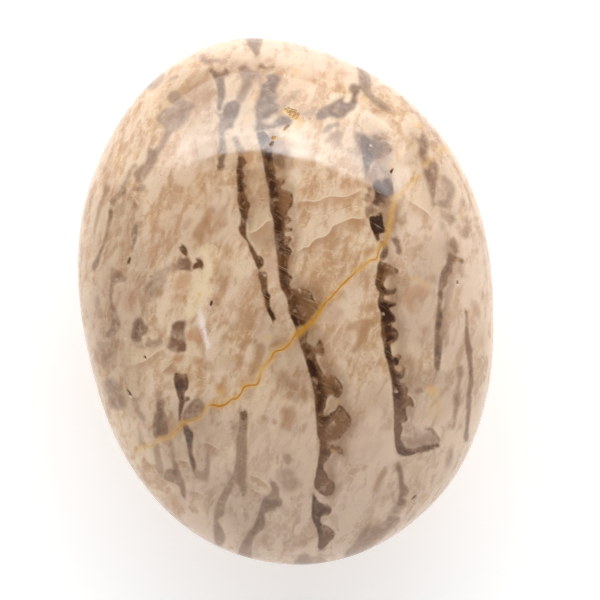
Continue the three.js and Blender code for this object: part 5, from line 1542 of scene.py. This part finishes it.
    def ledged(self, body):
        """Ledges on the body: pale lip and painted highlight on one side, painted tan shadow on the other."""
        s = self
        side, fade, _ = s.fields("ledge")
        side = s.total(side, (s.ragged, 0.3))
        # Painted highlight: a thin bright line at the lip's edge, over a broader pale lip
        lip = s.total(s.range(side, 0.02, 0.22, 0.5, 0.0), s.range(side, 0.05, 1.3, 0.45, 0.0))
        lip = s.times(s.range(side, -0.04, 0.03), lip)
        # Painted shadow in tan on the other side of the ledge
        under = s.times(s.range(side, 0.02, -0.05), s.range(side, -0.1, -1.7, 0.6, 0.0))
        body = s.mix(s.times(lip, fade), body, s.shade["milk"])
        return s.mix(s.times(under, fade), body, s.shade["deep"])

    def banded(self, body):
        """The body with its quartz: thin veils, and bands crisp on their left and frayed on their right."""
        s, shade = self, self.shade
        along = s.apart(s.mm)["Y"]
        # Painted shade: quartz and veils darken towards the head, under the softbox's reflection
        head = s.range(along, 15, 20, 0.0, 0.38)
        # Grey veils, and among them a painted dark reflection inside the right rim
        veil_and_reflection = s.marking("veil_and_reflection", (s.mottle, 0.35), (s.ragged, 0.15), soften=1.2)
        film = s.mix(s.range(s.total((s.cloudy, 1.6), s.mottle), -0.3, 0.7), shade["veil_and_reflection"], shade["taupe"])
        body = s.mix(veil_and_reflection, body, s.mix(head, film, shade["dark"]))

        left = s.total(s.field("left"), (s.cloudy, 1.2))
        depth = s.total(s.fields("smoky")[0], (s.ragged, 0.2), (s.cloudy, 0.1))
        smoky = s.marking("smoky", (s.ragged, 0.2), (s.cloudy, 0.1))
        frayed = s.marking("smoky", (s.ragged, 0.7), (s.mottle, 0.8), soften=2.0)
        smoky = s.total(smoky, (s.math("SUBTRACT", frayed, smoky), s.range(left, 0.25, 0.9)))
        selvage = s.times(s.range(depth, -0.42, -0.12), s.range(s.even(s.mm, 0.5, 2), 0.0, 0.15))
        body = s.mix(s.times(selvage, 0.45), body, shade["milk"])

        thick = s.times(s.range(s.total(depth, (s.cloudy, 1.6)), 0.0, 0.7), s.range(left, 2.2, 0.7, 0.1, 1.0))
        quartz = s.mix(thick, shade["lobe"], shade["smoky"])
        ashen = s.range(s.total(along, (s.mottle, 14)), -12.5, -17.5, 0.0, 0.7)
        quartz = s.mix(ashen, quartz, shade["ash"])
        quartz = s.mix(s.range(s.mottle, 0.0, 0.2, 0.0, 0.3), quartz, shade["lobe"])
        quartz = s.mix(s.range(s.total(s.grains, s.mottle), 0.0, 0.3, 0.0, 0.5), quartz, shade["taupe"])
        # Painted shade towards the head, under the softbox's reflection
        quartz = s.mix(head, quartz, shade["dark"])
        edge = s.times(s.range(left, 0.75, 0.1, 0.0, 0.3), s.range(smoky, 0.75, 1.0))
        quartz = s.mix(edge, quartz, shade["dark"])
        body = s.mix(smoky, body, quartz)
        core = s.times(s.marking("dark", (s.ragged, 0.3), (s.cloudy, 0.9)), smoky, 0.9)
        body = s.mix(core, body, shade["dark"])

        # Pale hairlines and grit in the quartz, running down to the right
        comb = s.range(s.grain(-36, (7.0, 0.16, 1.0), 2, 0.5), 0.06, 0.26)
        comb = s.times(comb, s.range(s.cloudy, -0.08, 0.12))
        grit = s.range(s.even(s.mm, 5, 1), 0.17, 0.3)
        clear = s.math("MAXIMUM", smoky, s.times(veil_and_reflection, 0.7))
        return s.mix(s.times(s.total((comb, 0.42), (grit, 0.12)), clear), body, shade["pale"])

    def rusted(self, body):
        """The body with its rust crusts and rusty cracks, and how rusty each place is."""
        s, shade = self, self.shade
        rust = s.marking("crust", (s.ragged, 0.5), (s.cloudy, 0.5))
        age = s.times(rust, 0.6)
        for name in ("crack", "branch"):
            side, half, strength = s.fields(name)
            away = s.math("ABSOLUTE", s.total(side, (s.ragged, 0.16), (s.cloudy, 0.1)))
            away = s.math("SUBTRACT", away, half)
            line = s.range(s.total(away, (s.cloudy, 0.2)), 0.12, -0.04, 0.0, 0.95)
            halo = s.range(s.total(away, (s.cloudy, 0.9)), 0.6, -0.1, 0.0, 0.5)
            rust = s.math("MAXIMUM", rust, s.times(s.math("MAXIMUM", line, halo), strength))
            age = s.math("MAXIMUM", age, s.times(line, strength))
        stain = s.mix(s.range(s.total(age, (s.cloudy, 0.8)), 0.35, 1.0), shade["ochre"], shade["rust"])
        return s.mix(rust, body, stain), rust

    def polish(self):
        """Join the body's colour to its gloss, and return the finished material."""
        s, shade = self, self.shade
        body, rust = s.rusted(s.banded(s.ledged(s.tinted(*s.feldspar()))))
        spot = s.range(s.total(s.field("spot"), (s.ragged, 1.6)), 0.25, 0.9)
        body = s.mix(s.times(spot, 0.45), body, shade["hollow"])
        body = s.mix(s.times(s.field("fleck"), 0.8), body, shade["milk"])
        pit, dust, _ = s.fields("pit")
        pit = s.range(s.total(pit, (s.ragged, 0.5)), 0.45, 0.8)
        body = s.mix(s.times(pit, dust, 0.8), body, shade["hollow"])

        bump = s.node("ShaderNodeBump")
        bump.inputs["Strength"].default_value = 0.5
        bump.inputs["Distance"].default_value = 0.05 * MM
        pitted = s.times(pit, s.noise(s.mm, 9, 3, 0.55))
        s.put(bump.inputs["Height"], s.total((s.ragged, 0.1), (rust, -0.15), (pitted, 1.6)))

        skin = s.node("ShaderNodeBsdfPrincipled")
        rough = s.total(0.075, (s.math("ABSOLUTE", s.ragged), 0.04), (rust, 0.1), (pit, 0.5))
        for name, value in (
            ("Base Color", body),
            ("Roughness", rough),
            ("Normal", bump.outputs[0]),
            ("IOR", 1.53),
            ("Subsurface Weight", 0.12),
            ("Subsurface Radius", (1.0, 0.7, 0.5)),
            ("Subsurface Scale", 1.2 * MM),
        ):
            s.put(skin.inputs[name], value)
        s.put(s.node("ShaderNodeOutputMaterial").inputs["Surface"], skin.outputs[0])
        return s.material


class PEBBLE_OT_stone(bpy.types.Operator):
    """Build the polished pebble from its form, pits and markings"""

    bl_idname = "pebble.stone"
    bl_label = "Stone"

    def execute(self, context):
        sizes = context.scene.pebble_sizes
        solid = tuple(np.array(corner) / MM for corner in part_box(NODE))
        boxes = own_box(), solid
        flat, side, faces = unit_rings(sizes.face_grain / MM, sizes.belly_grain / MM)
        flat, side, faces = refined(flat, side, faces, boxes, sizes.pit_cuts)
        places = seated(shaped(flat, side), *boxes)
        girdle = seated(np.zeros((1, 3)), *boxes)[0, 2]

        mesh = bpy.data.meshes.new("polished_pebble")
        mesh.from_pydata((places * MM).tolist(), [], faces)
        mesh.shade_smooth()
        normals = np.empty(len(places) * 3, dtype=np.float32)
        mesh.vertex_normals.foreach_get("vector", normals)
        normals = normals.reshape(-1, 3).astype(float)

        # The waves only sink the surface, and fade out towards the foot
        sink, pit_share, dust = pit_depth(places, side, normals)
        waves = (polish_waves(places) - WAVE_SINK) * clamp01(places[:, 2] / WAVE_FADE)
        waves *= sizes.wave_height / MM
        moved = places + normals * np.minimum(waves, 0)[:, None] - normals * sink[:, None]
        moved = np.clip(moved, *solid)
        mesh.vertices.foreach_set("co", (moved * MM).astype(np.float32).ravel())
        mesh.update()

        drawn = drawn_places(places, girdle)
        for name, patches in MARKINGS.items():
            keep_field(mesh, name, patch_field(drawn, patches))
        keep_field(mesh, "crack", path_field(drawn, RUST_CRACKS[:1], CRACK_REACH))
        keep_field(mesh, "branch", path_field(drawn, RUST_CRACKS[1:], CRACK_REACH))
        keep_field(mesh, "ledge", path_field(drawn, LEDGES, LEDGE_REACH))
        keep_field(mesh, "fleck", fleck_field(drawn, FLECKS))
        keep_field(mesh, "spot", fleck_field(drawn, SPOTS))
        keep_field(mesh, "left", left_field(drawn, SMOKY))
        keep_field(mesh, "pit", np.stack([pit_share, dust, dust], 1))

        stone = bpy.data.objects.new("polished_pebble", mesh)
        context.scene.collection.objects.link(stone)
        mesh.materials.append(StoneShader(context.scene.pebble_colours).polish())
        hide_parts(NODE)
        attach(stone, "root")
        return {"FINISHED"}


def softbox(name, power, size, middle):
    """A rectangular soft lamp that faces the stone, its width level."""
    lamp = bpy.data.lights.new(name, "AREA")
    lamp.shape = "RECTANGLE"
    lamp.size, lamp.size_y = size
    lamp.energy = power
    body = bpy.data.objects.new(name, lamp)
    body.location = middle
    body.rotation_mode = "QUATERNION"
    body.rotation_quaternion = (AIM - middle).to_track_quat("-Z", "Y")
    bpy.context.scene.collection.objects.link(body)
    return body


def hung(angle, bearing, away):
    """A point away from the stone, at an angle from the vertical and a bearing from image-up to the right."""
    tilt = math.radians(CAMERA_TURN)
    up = Vector((math.sin(-tilt), math.cos(tilt), 0))
    right = Vector((math.cos(tilt), math.sin(tilt), 0))
    lean, turn = math.radians(angle), math.radians(bearing)
    flat = up * math.cos(turn) + right * math.sin(turn)
    return AIM + (flat * math.sin(lean) + Vector((0, 0, 1)) * math.cos(lean)) * away


class PEBBLE_OT_stage(bpy.types.Operator):
    """Lay a pale floor, hang the soft lamps and look straight down on the face"""

    bl_idname = "pebble.stage"
    bl_label = "Stage"

    def execute(self, context):
        scene = context.scene
        settings = scene.pebble_stage
        scene.view_settings.view_transform = "Standard"
        self.lay_floor(scene, settings)
        self.light_sky(scene, settings)
        self.hang_lamps(settings)
        self.place_camera(scene, settings)
        return {"FINISHED"}

    def lay_floor(self, scene, settings):
        half = settings.floor_size / 2
        mesh = bpy.data.meshes.new("floor")
        corners = [(-half, -half, 0), (half, -half, 0), (half, half, 0), (-half, half, 0)]
        mesh.from_pydata(corners, [], [(0, 1, 2, 3)])
        floor = bpy.data.objects.new("floor", mesh)
        scene.collection.objects.link(floor)
        paint = Shader("floor_paint")
        matte = paint.node("ShaderNodeBsdfPrincipled")
        matte.inputs["Base Color"].default_value = tuple(settings.floor)
        matte.inputs["Roughness"].default_value = 0.7
        matte.inputs["Emission Color"].default_value = (1, 1, 1, 1)
        matte.inputs["Emission Strength"].default_value = 0.3
        paint.put(paint.node("ShaderNodeOutputMaterial").inputs["Surface"], matte.outputs[0])
        mesh.materials.append(paint.material)

    def light_sky(self, scene, settings):
        world = bpy.data.worlds.new("studio")
        world.use_nodes = True
        tree = world.node_tree
        way = tree.nodes.new("ShaderNodeSeparateXYZ")
        tree.links.new(tree.nodes.new("ShaderNodeTexCoord").outputs["Generated"], way.inputs[0])
        fade = tree.nodes.new("ShaderNodeMapRange")
        ends = (*SKY_FADE, settings.sky, settings.sky_top)
        for socket, value in zip(list(fade.inputs)[1:5], ends):
            socket.default_value = value
        tree.links.new(way.outputs["Z"], fade.inputs[0])
        background = tree.nodes["Background"]
        background.inputs["Color"].default_value = (1, 1, 1, 1)
        tree.links.new(fade.outputs[0], background.inputs["Strength"])
        scene.world = world

    def hang_lamps(self, settings):
        softbox("key_softbox", settings.key, KEY_SIZE, hung(*KEY_AT))
        for count, (width, top, share, bearing) in enumerate(SHINE, 1):
            spread = math.radians(top) - math.radians(SHINE_FROM)
            height = 2 * SHINE_AWAY * math.tan(spread / 2)
            power = settings.shine * share / GLOSS * 4 * width * height
            middle = hung((SHINE_FROM + top) / 2, bearing, SHINE_AWAY)
            lamp = softbox(f"softbox_front_{count}", power, (width, height), middle)
            lamp.visible_diffuse = False
            lamp.data.color = SHINE_COLOUR
        strip = softbox("side_strip", settings.strip, STRIP_SIZE, hung(*STRIP_AT))
        strip.data.color = STRIP_COLOUR

    def place_camera(self, scene, settings):
        data = bpy.data.cameras.new("camera")
        data.lens = settings.lens
        data.clip_start = 0.01
        camera = bpy.data.objects.new("camera", data)
        camera.location = CAMERA_AT
        camera.rotation_euler = (0, 0, math.radians(CAMERA_TURN))
        scene.collection.objects.link(camera)
        scene.camera = camera


class PEBBLE_PT_panel(bpy.types.Panel):
    """The pebble's sizes, colours and build buttons"""

    bl_label = "Pebble"
    bl_idname = "PEBBLE_PT_panel"
    bl_space_type = "VIEW_3D"
    bl_region_type = "UI"
    bl_category = "Pebble"

    def draw(self, context):
        for group in (context.scene.pebble_sizes, context.scene.pebble_colours, context.scene.pebble_stage):
            box = self.layout.box()
            for name in group.__annotations__:
                box.prop(group, name)
        self.layout.operator(PEBBLE_OT_stone.bl_idname)
        self.layout.operator(PEBBLE_OT_stage.bl_idname)


CLASSES = (StoneSizes, StoneColours, StageSettings, PEBBLE_OT_stone, PEBBLE_OT_stage, PEBBLE_PT_panel)


def register():
    for cls in CLASSES:
        bpy.utils.register_class(cls)
    bpy.types.Scene.pebble_sizes = bpy.props.PointerProperty(type=StoneSizes)
    bpy.types.Scene.pebble_colours = bpy.props.PointerProperty(type=StoneColours)
    bpy.types.Scene.pebble_stage = bpy.props.PointerProperty(type=StageSettings)


def unregister():
    del bpy.types.Scene.pebble_stage
    del bpy.types.Scene.pebble_colours
    del bpy.types.Scene.pebble_sizes
    for cls in reversed(CLASSES):
        bpy.utils.unregister_class(cls)


def main():
    register()
    bpy.ops.pebble.stage()
    bpy.ops.pebble.stone()


if __name__ == "__main__":
    main()
